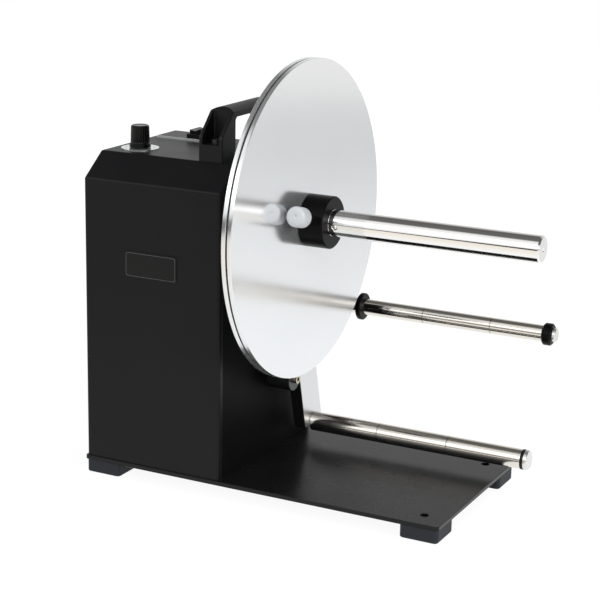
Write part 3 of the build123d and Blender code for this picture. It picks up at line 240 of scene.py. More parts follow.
@dataclass(frozen=True)
class Finish:
    """A surface finish that every piece of that kind shares.

    The base colour drifts between shade and tint, and the roughness round its value.
    """

    name: str
    tint: Colour
    shade: Colour
    roughness: float
    metallic: float = 0.0
    drift_scale: float = 30.0
    drift_detail: float = 3.0
    roughness_drift: float = 0.04
    specular: float = 0.5

    def pattern(self, recipe: Recipe) -> Wire:
        """The slow drift over the surface, between 0 and 1."""
        return recipe.noise(recipe.place(), self.drift_scale, self.drift_detail)

    def normal(self, recipe: Recipe) -> Optional[Wire]:
        """The fine relief, or None for a plain surface."""
        return None

    def colour(self, recipe: Recipe, drift: Wire) -> Wire:
        """The base colour over the surface."""
        return recipe.blend(drift, self.shade, self.tint)

    def gloss(self, recipe: Recipe, drift: Wire) -> Wire:
        """The roughness over the surface."""
        return drift * (2 * self.roughness_drift) + (self.roughness - self.roughness_drift)

    def metal(self, recipe: Recipe) -> Operand:
        """How far the surface is bare metal."""
        return self.metallic

    def material(self) -> bpy.types.Material:
        """Builds the material, once for each finish.

        Returns:
            The finish's material.
        """
        found = bpy.data.materials.get("finish_" + self.name)
        if found:
            return found
        made = bpy.data.materials.new("finish_" + self.name)
        made.use_nodes = True
        recipe = Recipe(made.node_tree)
        drift = self.pattern(recipe)
        sockets: Dict[Union[str, int], object] = {
            "Base Color": self.colour(recipe, drift),
            "Roughness": self.gloss(recipe, drift),
            "Metallic": self.metal(recipe),
            "Specular IOR Level": self.specular,
        }
        bumped = self.normal(recipe)
        if bumped:
            sockets["Normal"] = bumped
        recipe.surface(recipe.node("ShaderNodeBsdfPrincipled", {}, sockets))
        return made


@dataclass(frozen=True)
class Grained(Finish):
    """A finish with a fine even grain in relief."""

    grain_size: float = 0.5 * MM
    grain_depth: float = 0.02 * MM
    grain_detail: float = 2.0
    grain_strength: float = 0.7

    def normal(self, recipe: Recipe) -> Optional[Wire]:
        """Grain: noise with one feature for each grain size."""
        grain = recipe.noise(recipe.place(), 1.0 / self.grain_size, self.grain_detail)
        return recipe.relief(grain, self.grain_depth, self.grain_strength)


@dataclass(frozen=True)
class PowderCoat(Grained):
    """Baked powder: fine pebbled relief, a few tenths of a millimetre across."""

    grain_size: float = 0.35 * MM
    grain_depth: float = 0.012 * MM
    grain_detail: float = 1.0
    grain_strength: float = 0.6


@dataclass(frozen=True)
class Moulded(Grained):
    """Rubber or plastic with the fine matte grain of its mould, or metal that is blasted as fine."""


@dataclass(frozen=True)
class TurnedMetal(Finish):
    """Metal turned or ground round the X axis: fine rings that differ only along X."""

    ring_pitch: float = 0.25 * MM
    ring_depth: float = 0.001 * MM
    ring_strength: float = 0.5
    ring_wander: float = 0.02

    def pattern(self, recipe: Recipe) -> Wire:
        """Ring to ring drift: noise along X, hardly changed round the axis.

        Args:
            recipe: the material's recipe.

        Returns:
            The noise, between 0 and 1.
        """
        x, y, z = recipe.split(recipe.place())
        where = recipe.join(x, y * self.ring_wander, z * self.ring_wander)
        return recipe.noise(where, 1.0 / self.ring_pitch)

    def normal(self, recipe: Recipe) -> Optional[Wire]:
        """Tool rings."""
        return recipe.relief(self.pattern(recipe), self.ring_depth, self.ring_strength)


@dataclass(frozen=True)
class MarkedTube(TurnedMetal):
    """Ground tube with fine dark lines scored round it at given stations along X, in metres."""

    marks: Tuple[float, ...] = ()
    mark_half_width: float = 0.45 * MM
    mark_core: float = 1.3
    mark_tint: Colour = (0.3, 0.29, 0.27)

    def colour(self, recipe: Recipe, drift: Wire) -> Wire:
        """The tube's colour, darkened near each station by the core value less the squared distance.

        The distance from the station is in half widths of a mark.

        Args:
            recipe: the material's recipe.
            drift: the finish's pattern.

        Returns:
            The base colour.
        """
        tint = super().colour(recipe, drift)
        along = recipe.split(recipe.place())[0]
        for station in self.marks:
            off = (along - station) / self.mark_half_width
            tint = recipe.blend((self.mark_core - off * off).clamped(), tint, self.mark_tint)
        return tint


@dataclass(frozen=True)
class FacedDisc(Finish):
    """Sheet metal faced on a lathe: hair-fine circles about an axis along X, and a faint cloudiness."""

    axis_y: float = 0.0
    axis_z: float = 0.0
    ring_pitch: float = 0.3 * MM
    ring_depth: float = 0.0006 * MM
    ring_strength: float = 0.35
    ring_wander: float = 0.01
    ring_share: float = 0.3

    def _rings(self, recipe: Recipe) -> Wire:
        """Noise of the distance from the axis, with a little drift along each circle.

        Args:
            recipe: the material's recipe.

        Returns:
            The noise, between 0 and 1.
        """
        x, y, z = recipe.split(recipe.place())
        across, up = y - self.axis_y, z - self.axis_z
        radius = (across * across + up * up).root()
        where = recipe.join(radius, across * self.ring_wander, up * self.ring_wander)
        return recipe.noise(where, 1.0 / self.ring_pitch, 1.0)

    def pattern(self, recipe: Recipe) -> Wire:
        """Cloudiness over the face with the rings laid over it."""
        cloud = recipe.noise(recipe.place(), self.drift_scale)
        return cloud * (1 - self.ring_share) + self._rings(recipe) * self.ring_share

    def normal(self, recipe: Recipe) -> Optional[Wire]:
        """Facing rings."""
        return recipe.relief(self._rings(recipe), self.ring_depth, self.ring_strength)


@dataclass(frozen=True)
class BrushedBar(Finish):
    """Flat bar brushed along its length, which leans by an angle in the YZ plane."""

    lean: float = 0.0
    streak_width: float = 0.2 * MM
    streak_length: float = 30 * MM
    streak_depth: float = 0.002 * MM
    streak_strength: float = 0.6

    def pattern(self, recipe: Recipe) -> Wire:
        """Streak to streak drift: noise stretched along the bar.

        Args:
            recipe: the material's recipe.

        Returns:
            The noise, between 0 and 1.
        """
        turned = {"Vector": recipe.place(), "Rotation": (-self.lean, 0.0, 0.0)}
        x, y, z = recipe.split(recipe.node("ShaderNodeMapping", {"vector_type": "POINT"}, turned))
        shape = recipe.join(x, y, z * (self.streak_width / self.streak_length))
        return recipe.noise(shape, 1.0 / self.streak_width)

    def normal(self, recipe: Recipe) -> Optional[Wire]:
        """Brushed relief."""
        return recipe.relief(self.pattern(recipe), self.streak_depth, self.streak_strength)


@dataclass(frozen=True)
class EdgedPlate(BrushedBar):
    """A brushed plate whose faces and cut edges have two finishes, told apart by the surface's normal."""

    face_axis: int = 0
    face_threshold: float = 0.5
    face_sharpness: float = 20.0
    edge_tint: Colour = (0.006, 0.006, 0.007)
    edge_roughness: float = 0.4
    edge_metallic: float = 0.0

    def _face(self, recipe: Recipe) -> Wire:
        """Tells faces from edges by the squared normal along the face axis, sharpened about the threshold.

        Args:
            recipe: the material's recipe.

        Returns:
            1 on the broad faces, 0 on the edges.
        """
        normal = recipe.node("ShaderNodeTexCoord", {}, {}, "Normal")
        part = recipe.split(normal)[self.face_axis]
        return ((part * part - self.face_threshold) * self.face_sharpness).clamped()

    def colour(self, recipe: Recipe, drift: Wire) -> Wire:
        """The faces' drifting colour, and the edges' own."""
        return recipe.blend(self._face(recipe), self.edge_tint, super().colour(recipe, drift))

    def gloss(self, recipe: Recipe, drift: Wire) -> Wire:
        """The faces' roughness, and the edges' own."""
        gain = super().gloss(recipe, drift) - self.edge_roughness
        return gain * self._face(recipe) + self.edge_roughness

    def metal(self, recipe: Recipe) -> Operand:
        """Bare metal on the faces or on the edges."""
        return self._face(recipe) * (self.metallic - self.edge_metallic) + self.edge_metallic


ROW_ORIGIN: Point = (204.0, 11.25, 0.0)
SPINDLE_HEIGHT = 247.0
ROLLER_MARKS = (237.0, 308.0)
ARM_LEAN = math.radians(14.5)
AXIS_RADIUS = 0.01


def row_point(x: float, y: float, z: float) -> Point:
    """Turns a maker's measure into a place in the frame.

    Args:
        x: millimetres from the base's left end.
        y: millimetres behind the spindle's axis.
        z: millimetres above the bench.

    Returns:
        The point in metres.
    """
    return tuple((value - origin) * MM for value, origin in zip((x, y, z), ROW_ORIGIN))


SPINDLE = row_point(0.0, 0.0, SPINDLE_HEIGHT)
MARKS = tuple(row_point(station, 0.0, 0.0)[0] for station in ROLLER_MARKS)

COAT = PowderCoat(
    "black_coat", tint=(0.0085, 0.0085, 0.0095), shade=(0.005, 0.005, 0.006), roughness=0.38, specular=0.17,
    drift_scale=14.0, roughness_drift=0.06,
)
# Painted shade: a darker, duller copy of the black coat for the spindle side plate, which lies in the disc's
# shade.
SHADED_SIDE_COAT = PowderCoat(
    "shaded_side_coat", tint=(0.004, 0.004, 0.0045), shade=(0.003, 0.003, 0.003), roughness=0.5, specular=0.06
)
BASE_COAT = PowderCoat(
    "base_coat", tint=(0.0085, 0.0085, 0.0095), shade=(0.006, 0.006, 0.0065), roughness=0.27, specular=0.22
)
FOOT_RUBBER = Moulded(
    "foot_rubber", tint=(0.021, 0.024, 0.031), shade=(0.016, 0.018, 0.023), roughness=0.6, specular=0.25
)
POST_RUBBER = Moulded(
    "post_rubber", tint=(0.008, 0.008, 0.009), shade=(0.005, 0.005, 0.006), roughness=0.6, specular=0.2
)
BLACK_PLASTIC = Moulded(
    "black_plastic", tint=(0.007, 0.007, 0.008), shade=(0.004, 0.004, 0.005), roughness=0.42, specular=0.22
)
GLOSS_PLASTIC = Finish(
    "gloss_plastic", tint=(0.003, 0.003, 0.004), shade=(0.002, 0.002, 0.002), roughness=0.16, specular=0.2
)
BADGE_BLACK = Finish(
    "badge_black", tint=(0.009, 0.009, 0.01), shade=(0.006, 0.006, 0.007), roughness=0.3, specular=0.2
)
# Painted highlight: the raised rim round the badge is real, but its light grey stands in for the light on
# its edge.
BADGE_RIM_HIGHLIGHT = Finish(
    "badge_rim_highlight", tint=(0.11, 0.11, 0.115), shade=(0.08, 0.08, 0.085), roughness=0.4, specular=0.3
)
ANODISED = TurnedMetal(
    "black_anodise", tint=(0.003, 0.003, 0.004), shade=(0.002, 0.002, 0.002), roughness=0.34, specular=0.09
)
POLISHED = TurnedMetal(
    "polished_steel", tint=(0.93, 0.92, 0.905), shade=(0.85, 0.84, 0.825), roughness=0.08, metallic=1.0,
    roughness_drift=0.02,
)
SATIN = MarkedTube(
    "satin_steel", tint=(0.84, 0.80, 0.74), shade=(0.70, 0.66, 0.605), roughness=0.14, metallic=1.0,
    roughness_drift=0.03, marks=MARKS,
)
DISC = FacedDisc(
    "faced_aluminium", tint=(0.865, 0.88, 0.89), shade=(0.785, 0.80, 0.812), roughness=0.155, metallic=0.86,
    drift_scale=9.0, roughness_drift=0.03, axis_y=SPINDLE[1], axis_z=SPINDLE[2],
)
CAP_FACE = FacedDisc(
    "cap_face", tint=(0.80, 0.79, 0.77), shade=(0.70, 0.69, 0.67), roughness=0.26, metallic=0.9,
    drift_scale=300.0,
)
BRUSHED = BrushedBar(
    "brushed_aluminium", tint=(0.78, 0.785, 0.79), shade=(0.68, 0.685, 0.69), roughness=0.3, metallic=0.9
)
ARM_BAR = EdgedPlate(
    "arm_aluminium", tint=(0.78, 0.785, 0.79), shade=(0.66, 0.67, 0.675), roughness=0.32, metallic=0.9,
    lean=ARM_LEAN,
)
SWITCH_COAT = EdgedPlate(
    "switch_plate_coat", tint=(0.0085, 0.0085, 0.0095), shade=(0.006, 0.006, 0.007), roughness=0.36,
    specular=0.2, face_axis=2, edge_tint=(0.86, 0.87, 0.88), edge_roughness=0.28, edge_metallic=0.8,
)
FROSTED = Moulded(
    "frosted_aluminium", tint=(0.78, 0.80, 0.825), shade=(0.56, 0.585, 0.61), roughness=0.42, metallic=0.65,
    drift_scale=1300.0, roughness_drift=0.1, grain_size=0.6 * MM, grain_depth=0.03 * MM,
)
ZINC = Finish(
    "zinc_plate", tint=grey(0.6), shade=grey(0.5), roughness=0.28, metallic=1.0, drift_scale=250.0
)
BLACK_STEEL = Finish(
    "blackened_steel", tint=(0.02, 0.02, 0.021), shade=(0.012, 0.012, 0.013), roughness=0.35,
    drift_scale=250.0,
)
NICKEL = Finish(
    "nickel_screw", tint=(0.62, 0.55, 0.44), shade=(0.42, 0.37, 0.3), roughness=0.3, metallic=1.0,
    drift_scale=300.0,
)
GEAR_STEEL = TurnedMetal(
    "gear_steel", tint=(0.5, 0.5, 0.51), shade=(0.42, 0.42, 0.43), roughness=0.3, metallic=1.0
)
BRONZE = TurnedMetal(
    "bush_bronze", tint=(0.62, 0.44, 0.2), shade=(0.52, 0.36, 0.16), roughness=0.3, metallic=1.0
)
MOTOR_PAINT = PowderCoat("motor_paint", tint=(0.2, 0.2, 0.21), shade=(0.16, 0.16, 0.17), roughness=0.45)
BOARD = Finish(
    "circuit_board", tint=(0.03, 0.16, 0.07), shade=(0.02, 0.11, 0.05), roughness=0.45, drift_scale=120.0
)
INK = Finish("print_black", tint=grey(0.015), shade=grey(0.012), roughness=0.5, drift_scale=400.0)


def dress(finish: Finish, *names: str) -> None:
    """Gives CAD nodes a finish.

    Args:
        finish: the finish.
        names: the nodes' names.
    """
    for name in names:
        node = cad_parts[name]
        material = finish.material()
        if not node.data.materials:
            node.data.materials.append(material)
        for slot in node.material_slots:
            slot.material = material
        log.info("node %s has finish %s", name, finish.name)


def grid_faces(rows: int, columns: int, close_rows: bool, close_columns: bool) -> np.ndarray:
    """Quads of a grid of points stored row by row.

    Args:
        rows: points along the first parameter.
        columns: points along the second.
        close_rows: whether the last row joins the first.
        close_columns: whether the last column joins the first.

    Returns:
        An (n, 4) array of point numbers.
    """
    row = np.arange(rows if close_rows else rows - 1)[:, None]
    column = np.arange(columns if close_columns else columns - 1)[None, :]
    next_row, next_column = (row + 1) % rows, (column + 1) % columns
    corners = [row * columns + column, next_row * columns + column]
    corners += [next_row * columns + next_column, row * columns + next_column]
    return np.stack([np.broadcast_to(c, (row.size, column.size)) for c in corners], axis=-1).reshape(-1, 4)


@dataclass
class Piece:
    """A mesh gathered from several computed surfaces."""

    name: str
    points: List[np.ndarray] = field(default_factory=list)
    faces: List[List[int]] = field(default_factory=list)

    def _base(self) -> int:
        """How many points are in already."""
        return sum(len(p) for p in self.points)

    def add_grid(self, grid: np.ndarray, close_rows: bool = False, close_columns: bool = False) -> "Piece":
        """Adds a grid surface of shape (rows, columns, 3)."""
        rows, columns = grid.shape[:2]
        quads = grid_faces(rows, columns, close_rows, close_columns) + self._base()
        self.points.append(grid.reshape(-1, 3))
        self.faces.extend(quads.tolist())
        return self

    def add_fan(self, ring: np.ndarray) -> "Piece":
        """Adds one flat face over a ring of points, in their order."""
        first = self._base()
        self.points.append(ring)
        self.faces.append(list(range(first, first + len(ring))))
        return self

    def build(self, body: str, finish: Finish, slot: str, smooth_degrees: float = 35.0) -> bpy.types.Object:
        """Makes the mesh, merges its seams and turns its faces outwards.

        Args:
            body: the CAD body that it rides on.
            finish: its finish.
            slot: not used.
            smooth_degrees: edges flatter than this are shaded smooth.

        Returns:
            The new object.
        """
        mesh = bpy.data.meshes.new(self.name)
        mesh.from_pydata(np.concatenate(self.points).tolist(), [], self.faces)
        work = bmesh.new()
        work.from_mesh(mesh)
        bmesh.ops.remove_doubles(work, verts=work.verts, dist=1e-6)
        bmesh.ops.recalc_face_normals(work, faces=work.faces)
        work.to_mesh(mesh)
        work.free()
        mesh.shade_smooth()
        mesh.set_sharp_from_angle(angle=math.radians(smooth_degrees))
        mesh.materials.append(finish.material())
        made = bpy.data.objects.new(self.name, mesh)
        bpy.context.scene.collection.objects.link(made)
        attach(made, body)
        log.info("piece %s rides on %s", self.name, body)
        return made


@dataclass(frozen=True)
class Axle:
    """A line in space with two directions square to it, on which turned pieces are placed."""

    origin: Point
    along: Point
    across: Point

    def matrix(self) -> np.ndarray:
        """Columns: across, the third direction, along."""
        along = np.array(self.along) / np.linalg.norm(self.along)
        across = np.array(self.across) - along * np.dot(self.across, along)
        across /= np.linalg.norm(across)
        return np.stack([across, np.cross(along, across), along], axis=1)

    def turned(self, stations: np.ndarray, radii: np.ndarray) -> np.ndarray:
        """A closed surface of revolution whose radius may change round it.

        The point at station s and angle a is origin + s along + r(s, a)(cos a across + sin a third).

        Args:
            stations: distances along the axle, in metres, one per row.
            radii: radii in metres, of shape (rows, angles).

        Returns:
            Points of shape (rows, angles, 3).
        """
        angles = np.linspace(0, 2 * np.pi, radii.shape[1], endpoint=False)
        along = np.broadcast_to(stations[:, None], radii.shape)
        local = np.stack([radii * np.cos(angles), radii * np.sin(angles), along], axis=-1)
        return local @ self.matrix().T + np.array(self.origin)


def softened(profile: Sequence[Tuple[float, float]], radius: float, steps: int = 4) -> np.ndarray:
    """A profile with each inner corner replaced by a short curve.

    Each corner becomes a quadratic curve between points at most radius away from it on its two sides.

    Args:
        profile: corner points.
        radius: how far the curve may reach along each side.
        steps: points on each curve.

    Returns:
        The softened profile, as an (n, 2) array.
    """
    corners = np.array(profile, float)
    out = [corners[:1]]
    weights = np.linspace(0, 1, steps)[:, None]
    for before, corner, after in zip(corners[:-2], corners[1:-1], corners[2:]):
        to_before, to_after = before - corner, after - corner
        reach_before = min(radius, 0.45 * np.linalg.norm(to_before)) / np.linalg.norm(to_before)
        reach_after = min(radius, 0.45 * np.linalg.norm(to_after)) / np.linalg.norm(to_after)
        start, end = corner + to_before * reach_before, corner + to_after * reach_after
        out.append((1 - weights) ** 2 * start + 2 * weights * (1 - weights) * corner + weights**2 * end)
    out.append(corners[-1:])
    return np.concatenate(out)


@dataclass(frozen=True)
class FacedCap:
    """A roller's turned end cap: a rounded rim, a shallow step and a gently domed face.

    The two steps are in rim widths from the outside, and the crown in parts of the radius.
    """

    node: str
    name: str
    body: str
    rim: float = 0.8 * MM
    setback: float = 0.1 * MM
    step_depth: float = 0.35 * MM
    step_start: float = 2.2
    step_end: float = 2.5
    crown: float = 0.35
    softness: float = 0.5 * MM
    facets: int = 72

    def build(self) -> None:
        """Turns the profile about the cap's own axis, in the CAD cap's place, and replaces it."""
        low, high = (np.array(corner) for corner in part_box(self.node))
        centre, length, radius = (low + high) / 2, high[0] - low[0], (high[1] - low[1]) / 2
        axle = Axle((low[0], centre[1], centre[2]), (1.0, 0.0, 0.0), (0.0, 1.0, 0.0))
        face = length - self.setback
        corners = [
            (0.0, AXIS_RADIUS * MM),
            (0.0, radius),
            (length - self.rim, radius),
            (face, radius - self.rim),
            (face, radius - self.step_start * self.rim),
            (length - self.step_depth, radius - self.step_end * self.rim),
            (face, radius * self.crown),
            (length, AXIS_RADIUS * MM),
        ]
        profile = softened(corners, self.softness)
        grid = axle.turned(profile[:, 0], np.repeat(profile[:, 1][:, None], self.facets, axis=1))
        finish = replace(CAP_FACE, name=self.name, axis_y=float(centre[1]), axis_z=float(centre[2]))
        piece = Piece(self.name).add_grid(grid, close_columns=True)
        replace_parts(piece.build(self.body, finish, "polished_steel"), self.node)


@dataclass
class Housing:
    """Folded cover, side walls, blank badge and what is inside."""

    badge_width: float = 54.5
    badge_height: float = 24.5
    badge_centre: Tuple[float, float] = (72.5, 207.7)
    badge_face: float = -92.3
    rim_inset: float = 1.6
    rim_width: float = 0.5
    rim_height: float = 0.25
    rim_sink: float = 0.02
    corner_power: float = 0.12
    points_along: int = 96
    points_across: int = 7

    def dress(self) -> None:
        """Gives the sheet-metal nodes and the hidden pieces their finishes."""
        dress(COAT, "wrap_cover", "left_side_panel", "guide_bracket")
        # The spindle side plate takes the darker copy of the coat: painted shade.
        dress(SHADED_SIDE_COAT, "spindle_side_plate")
        dress(BADGE_BLACK, "badge_plate")
        dress(ZINC, "button_screws", "countersunk_screws", "gearbox_screws", "motor_bracket", "gear_key")
        dress(GEAR_STEEL, "spindle_gear", "motor_pinion")
        dress(BRUSHED, "gearbox")
        dress(MOTOR_PAINT, "motor", "potentiometer")
        dress(POLISHED, "motor_output_shaft", "bearing_outer_rings", "bearing_inner_rings")
        dress(ANODISED, "bearing_housing")
        dress(BOARD, "control_board")
        dress(BLACK_PLASTIC, "dc_inlet")

    def badge_rim(self) -> None:
        """A fine raised line round the blank badge, half round in section; its light grey is a painted
        highlight of the lit rim.

        Its outline is a superellipse: each half size times the cosine or sine raised to a small power. The
        section's angle s moves the line outwards by half its width times cos s, and forwards by its height
        times sin s.
        """
        turn = np.linspace(0, 2 * np.pi, self.points_along, endpoint=False)
        half = np.array([self.badge_width, self.badge_height]) / 2 - self.rim_inset
        circle = np.stack([np.cos(turn), np.sin(turn)], axis=-1)
        outline = np.sign(circle) * np.abs(circle) ** self.corner_power * half
        section = np.linspace(0, np.pi, self.points_across)[:, None, None]
        flat = np.array(self.badge_centre) + outline * (1 + np.cos(section) * (self.rim_width / 2) / half)
        front = self.badge_face + self.rim_sink - np.sin(section) * self.rim_height
        depth = np.broadcast_to(front[..., 0], flat.shape[:2])
        grid = (np.stack([flat[..., 0], depth, flat[..., 1]], axis=-1) - np.array(ROW_ORIGIN)) * MM
        piece = Piece("badge_rim").add_grid(grid, close_rows=True, close_columns=True)
        # The rim's light grey is a painted highlight.
        piece.build("frame", BADGE_RIM_HIGHLIGHT, "black_anodised")

    def build(self) -> None:
        """Dresses the housing and adds the badge's line."""
        self.dress()
        self.badge_rim()


@dataclass
class Base:
    """Base plate and its feet."""

    def build(self) -> None:
        """Gives the base and feet their finishes."""
        dress(BASE_COAT, "base_plate")
        dress(FOOT_RUBBER, "rubber_feet")
        dress(ZINC, "foot_screws")


@dataclass
class ClampFlange:
    """Discs, separator, hub and its screws."""

    def build(self) -> None:
        """Gives the discs and hub their finishes."""
        dress(DISC, "rear_flange_disc", "front_flange_disc")
        dress(POST_RUBBER, "separator_liner")
        dress(ANODISED, "flange_hub")
        dress(ZINC, "hub_screws")


@dataclass
class ThumbScrew:
    """Fluted knob on a stud that enters the hub from the front."""

    angle: float = 165.0
    station: float = 197.0
    inner_face: float = 37.0
    length: float = 17.0
    radius: float = 9.25
    bore: float = 3.05
    neck: float = 6.4
    neck_length: float = 3.0
    rim: float = 0.8
    dimple_radius: float = 1.4
    dimple_floor: float = 0.9
    dimple_depth: float = 0.5
    softness: float = 0.5
    flutes: int = 44
    flute_points: int = 6
    flute_depth: float = 0.2
    flute_start: float = 1.2
    flute_fade: Pair = (1.2, 0.6)

    def knob(self) -> None:
        """Turned knob: along its grip the radius drops by half a cosine wave, flute by flute."""
        lean = math.radians(self.angle)
        out = (0.0, math.cos(lean), math.sin(lean))
        axle = Axle(row_point(self.station, 0.0, SPINDLE_HEIGHT), out, (1.0, 0.0, 0.0))
        start, end = self.inner_face, self.inner_face + self.length
        floor = end - self.dimple_depth
        corners = [
            (start, self.bore),
            (start, self.neck),
            (start + self.neck_length, self.radius),
            (end - self.rim, self.radius),
            (end, self.radius - self.rim),
            (end, self.dimple_radius),
            (floor, self.dimple_floor),
            (floor, AXIS_RADIUS),
        ]
        profile = softened(corners, self.softness)
        along, radius = profile[:, :1], profile[:, 1:]
        angle = np.linspace(0, 2 * np.pi, self.flutes * self.flute_points, endpoint=False)
        grip = np.clip((along - start - self.flute_start) / self.flute_fade[0], 0, 1)
        grip = grip * np.clip((floor - along) / self.flute_fade[1], 0, 1)
        wave = 0.5 - 0.5 * np.cos(self.flutes * angle)
        grid = axle.turned(along[:, 0] * MM, (radius - self.flute_depth * grip * wave) * MM)
        piece = Piece("thumb_knob_grip").add_grid(grid, close_columns=True)
        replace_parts(piece.build("clamp_knob", FROSTED, "arm_aluminium", 50.0), "thumb_knob")

    def build(self) -> None:
        """Makes the knob and dresses its stud."""
        dress(POLISHED, "thumb_stud")
        dress(FROSTED, "thumb_knob")
        self.knob()


@dataclass
class Spindle:
    """Core shaft with its spring ball."""

    def build(self) -> None:
        """Gives the spindle its polish."""
        dress(POLISHED, "spindle_shaft", "detent_ball")
        dress(ZINC, "spindle_circlip")


@dataclass
class TensionArm:
    """Swinging arm, its bush and its roller."""

    def build(self) -> None:
        """Gives the arm and its roller their finishes."""
        dress(ARM_BAR, "tension_arm")
        dress(BRONZE, "arm_bush")
        dress(ZINC, "arm_retaining_ring", "tension_axle_nut")
        dress(SATIN, "tension_tube", "tension_axle")
        dress(BLACK_PLASTIC, "tension_plugs")
        FacedCap("tension_end_cap", "tension_cap_face", "arm").build()


@dataclass
class GuideRoller:
    """Fixed guide roller with its black flange and end ring."""

    def build(self) -> None:
        """Gives the roller its finishes."""
        dress(SATIN, "guide_tube", "guide_axle")
        dress(ZINC, "guide_axle_nut")
        FacedCap("guide_end_cap", "guide_cap_face", "frame").build()
        dress(ANODISED, "guide_flange", "guide_end_ring")


@dataclass
class StopPost:
    """Rubber-sleeved post that the arm rests on."""

    def build(self) -> None:
        """Gives the post its finishes."""
        dress(POST_RUBBER, "stop_sleeve")
        dress(BLACK_STEEL, "stop_core", "stop_washer")
        dress(NICKEL, "stop_screw")


@dataclass
class Controls:
    """Speed knob with its dial, and the rocker switch on its raised plate.

    The skirt's profile is given by height and distance from the skirt's radius, and the grip's by height or
    depth below the top and distance from the grip's radius.
    """

    dial_centre: Pair = (27.5, -37.0)
    dial_top: float = 303.8
    ticks: int = 11
    sweep: float = 300.0
    first_angle: float = 225.0
    tick_inner: float = 12.4
    tick_outer: float = 14.2
    tick_half_width: float = 0.16
    tick_sink: float = 0.02
    tick_height: float = 0.04
    knob_clearance: float = 0.3
    knob_height: float = 20.5
    knob_bore: float = 3.1
    skirt_radius: float = 10.0
    skirt: Tuple[Pair, ...] = (
        (0.0, -0.6), (0.5, 0.0), (1.5, 0.0), (1.7, -0.6), (2.1, -0.6), (2.3, 0.0), (3.4, 0.0),
    )
    grip_radius: float = 8.6
    grip_foot: Tuple[Pair, ...] = ((4.0, 0.35), (5.2, 0.25))
    grip_top: Tuple[Pair, ...] = ((1.0, -0.15), (0.0, -1.0), (0.0, -2.0), (0.35, -2.5))
    softness: float = 0.3
    ribs: int = 26
    rib_points: int = 8
    rib_depth: float = 0.35
    rib_start: float = 4.6
    rib_end: float = 0.9
    rib_fade: Pair = (0.8, 0.7)

    def marks(self) -> None:
        """Ticks over the knob's travel: each a thin bar between two radii."""
        piece = Piece("dial_ticks")
        centre = np.array(self.dial_centre)
        for index in range(self.ticks):
            angle = math.radians(self.first_angle - self.sweep * index / (self.ticks - 1))
            out = np.array([math.cos(angle), math.sin(angle)])
            side = np.array([-out[1], out[0]]) * self.tick_half_width
            inner, outer = centre + out * self.tick_inner, centre + out * self.tick_outer
            corners = [inner - side, outer - side, outer + side, inner + side]
            low = np.array([row_point(*corner, self.dial_top - self.tick_sink) for corner in corners])
            high = np.array([row_point(*corner, self.dial_top + self.tick_height) for corner in corners])
            piece.add_grid(np.stack([low, high]), close_columns=True).add_fan(high).add_fan(low[::-1])
        piece.build("frame", INK, "black_plastic")

    def knob(self) -> None:
        """Ribbed knob: a stepped skirt and a tapered grip, whose radius drops by a squared sine at each rib.

        The squared sine has one wave for each rib, and fades in and out over the grip's two ends.
        """
        foot = self.dial_top + self.knob_clearance
        axle = Axle(row_point(*self.dial_centre, foot), (0.0, 0.0, 1.0), (1.0, 0.0, 0.0))
        corners = [(0.0, self.knob_bore)]
        corners += [(height, self.skirt_radius + offset) for height, offset in self.skirt]
        corners += [(height, self.grip_radius + offset) for height, offset in self.grip_foot]
        top = self.knob_height
        corners += [(top - depth, self.grip_radius + offset) for depth, offset in self.grip_top]
        corners += [(corners[-1][0], AXIS_RADIUS)]
        profile = softened(corners, self.softness)
        height, radius = profile[:, :1], profile[:, 1:]
        angle = np.linspace(0, 2 * np.pi, self.ribs * self.rib_points, endpoint=False)
        grip = np.clip((height - self.rib_start) / self.rib_fade[0], 0, 1)
        grip = grip * np.clip((top - self.rib_end - height) / self.rib_fade[1], 0, 1)
        outside = radius > self.grip_radius - 1.0
        wave = np.sin(self.ribs * angle / 2) ** 2
        grid = axle.turned(height[:, 0] * MM, (radius - self.rib_depth * grip * outside * wave) * MM)
        piece = Piece("speed_knob_grip").add_grid(grid, close_columns=True)
        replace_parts(piece.build("speed_control", GLOSS_PLASTIC, "black_plastic", 40.0), "speed_knob")

    def build(self) -> None:
        """Dresses the controls and adds the dial's marks."""
        dress(DISC, "dial_plate")
        dress(GLOSS_PLASTIC, "speed_knob", "switch_rocker")
        dress(POLISHED, "pot_shaft")
        dress(SWITCH_COAT, "switch_plate")
        dress(BLACK_PLASTIC, "switch_body")
        self.marks()
        self.knob()


@dataclass
class CarryHandle:
    """Moulded bridge handle."""

    def build(self) -> None:
        """Gives the handle its finish."""
        dress(BLACK_PLASTIC, "carry_handle")
        dress(BLACK_STEEL, "handle_screws")


@dataclass(frozen=True)
class Lamp:
    """One soft rectangular lamp that mirrors don't show: where it stands, its target, size and watts."""

    name: str
    place: Point
    target: Point
    size: Pair
    power: float

    def build(self) -> None:
        """Adds the lamp."""
        data = bpy.data.lights.new(self.name, "AREA")
        data.shape = "RECTANGLE"
        data.size, data.size_y = self.size
        data.energy = self.power
        made = bpy.data.objects.new(self.name, data)
        turn = (Vector(self.target) - Vector(self.place)).to_track_quat("-Z", "Y")
        made.matrix_world = Matrix.Translation(self.place) @ turn.to_matrix().to_4x4()
        made.visible_glossy = False
        bpy.context.scene.collection.objects.link(made)


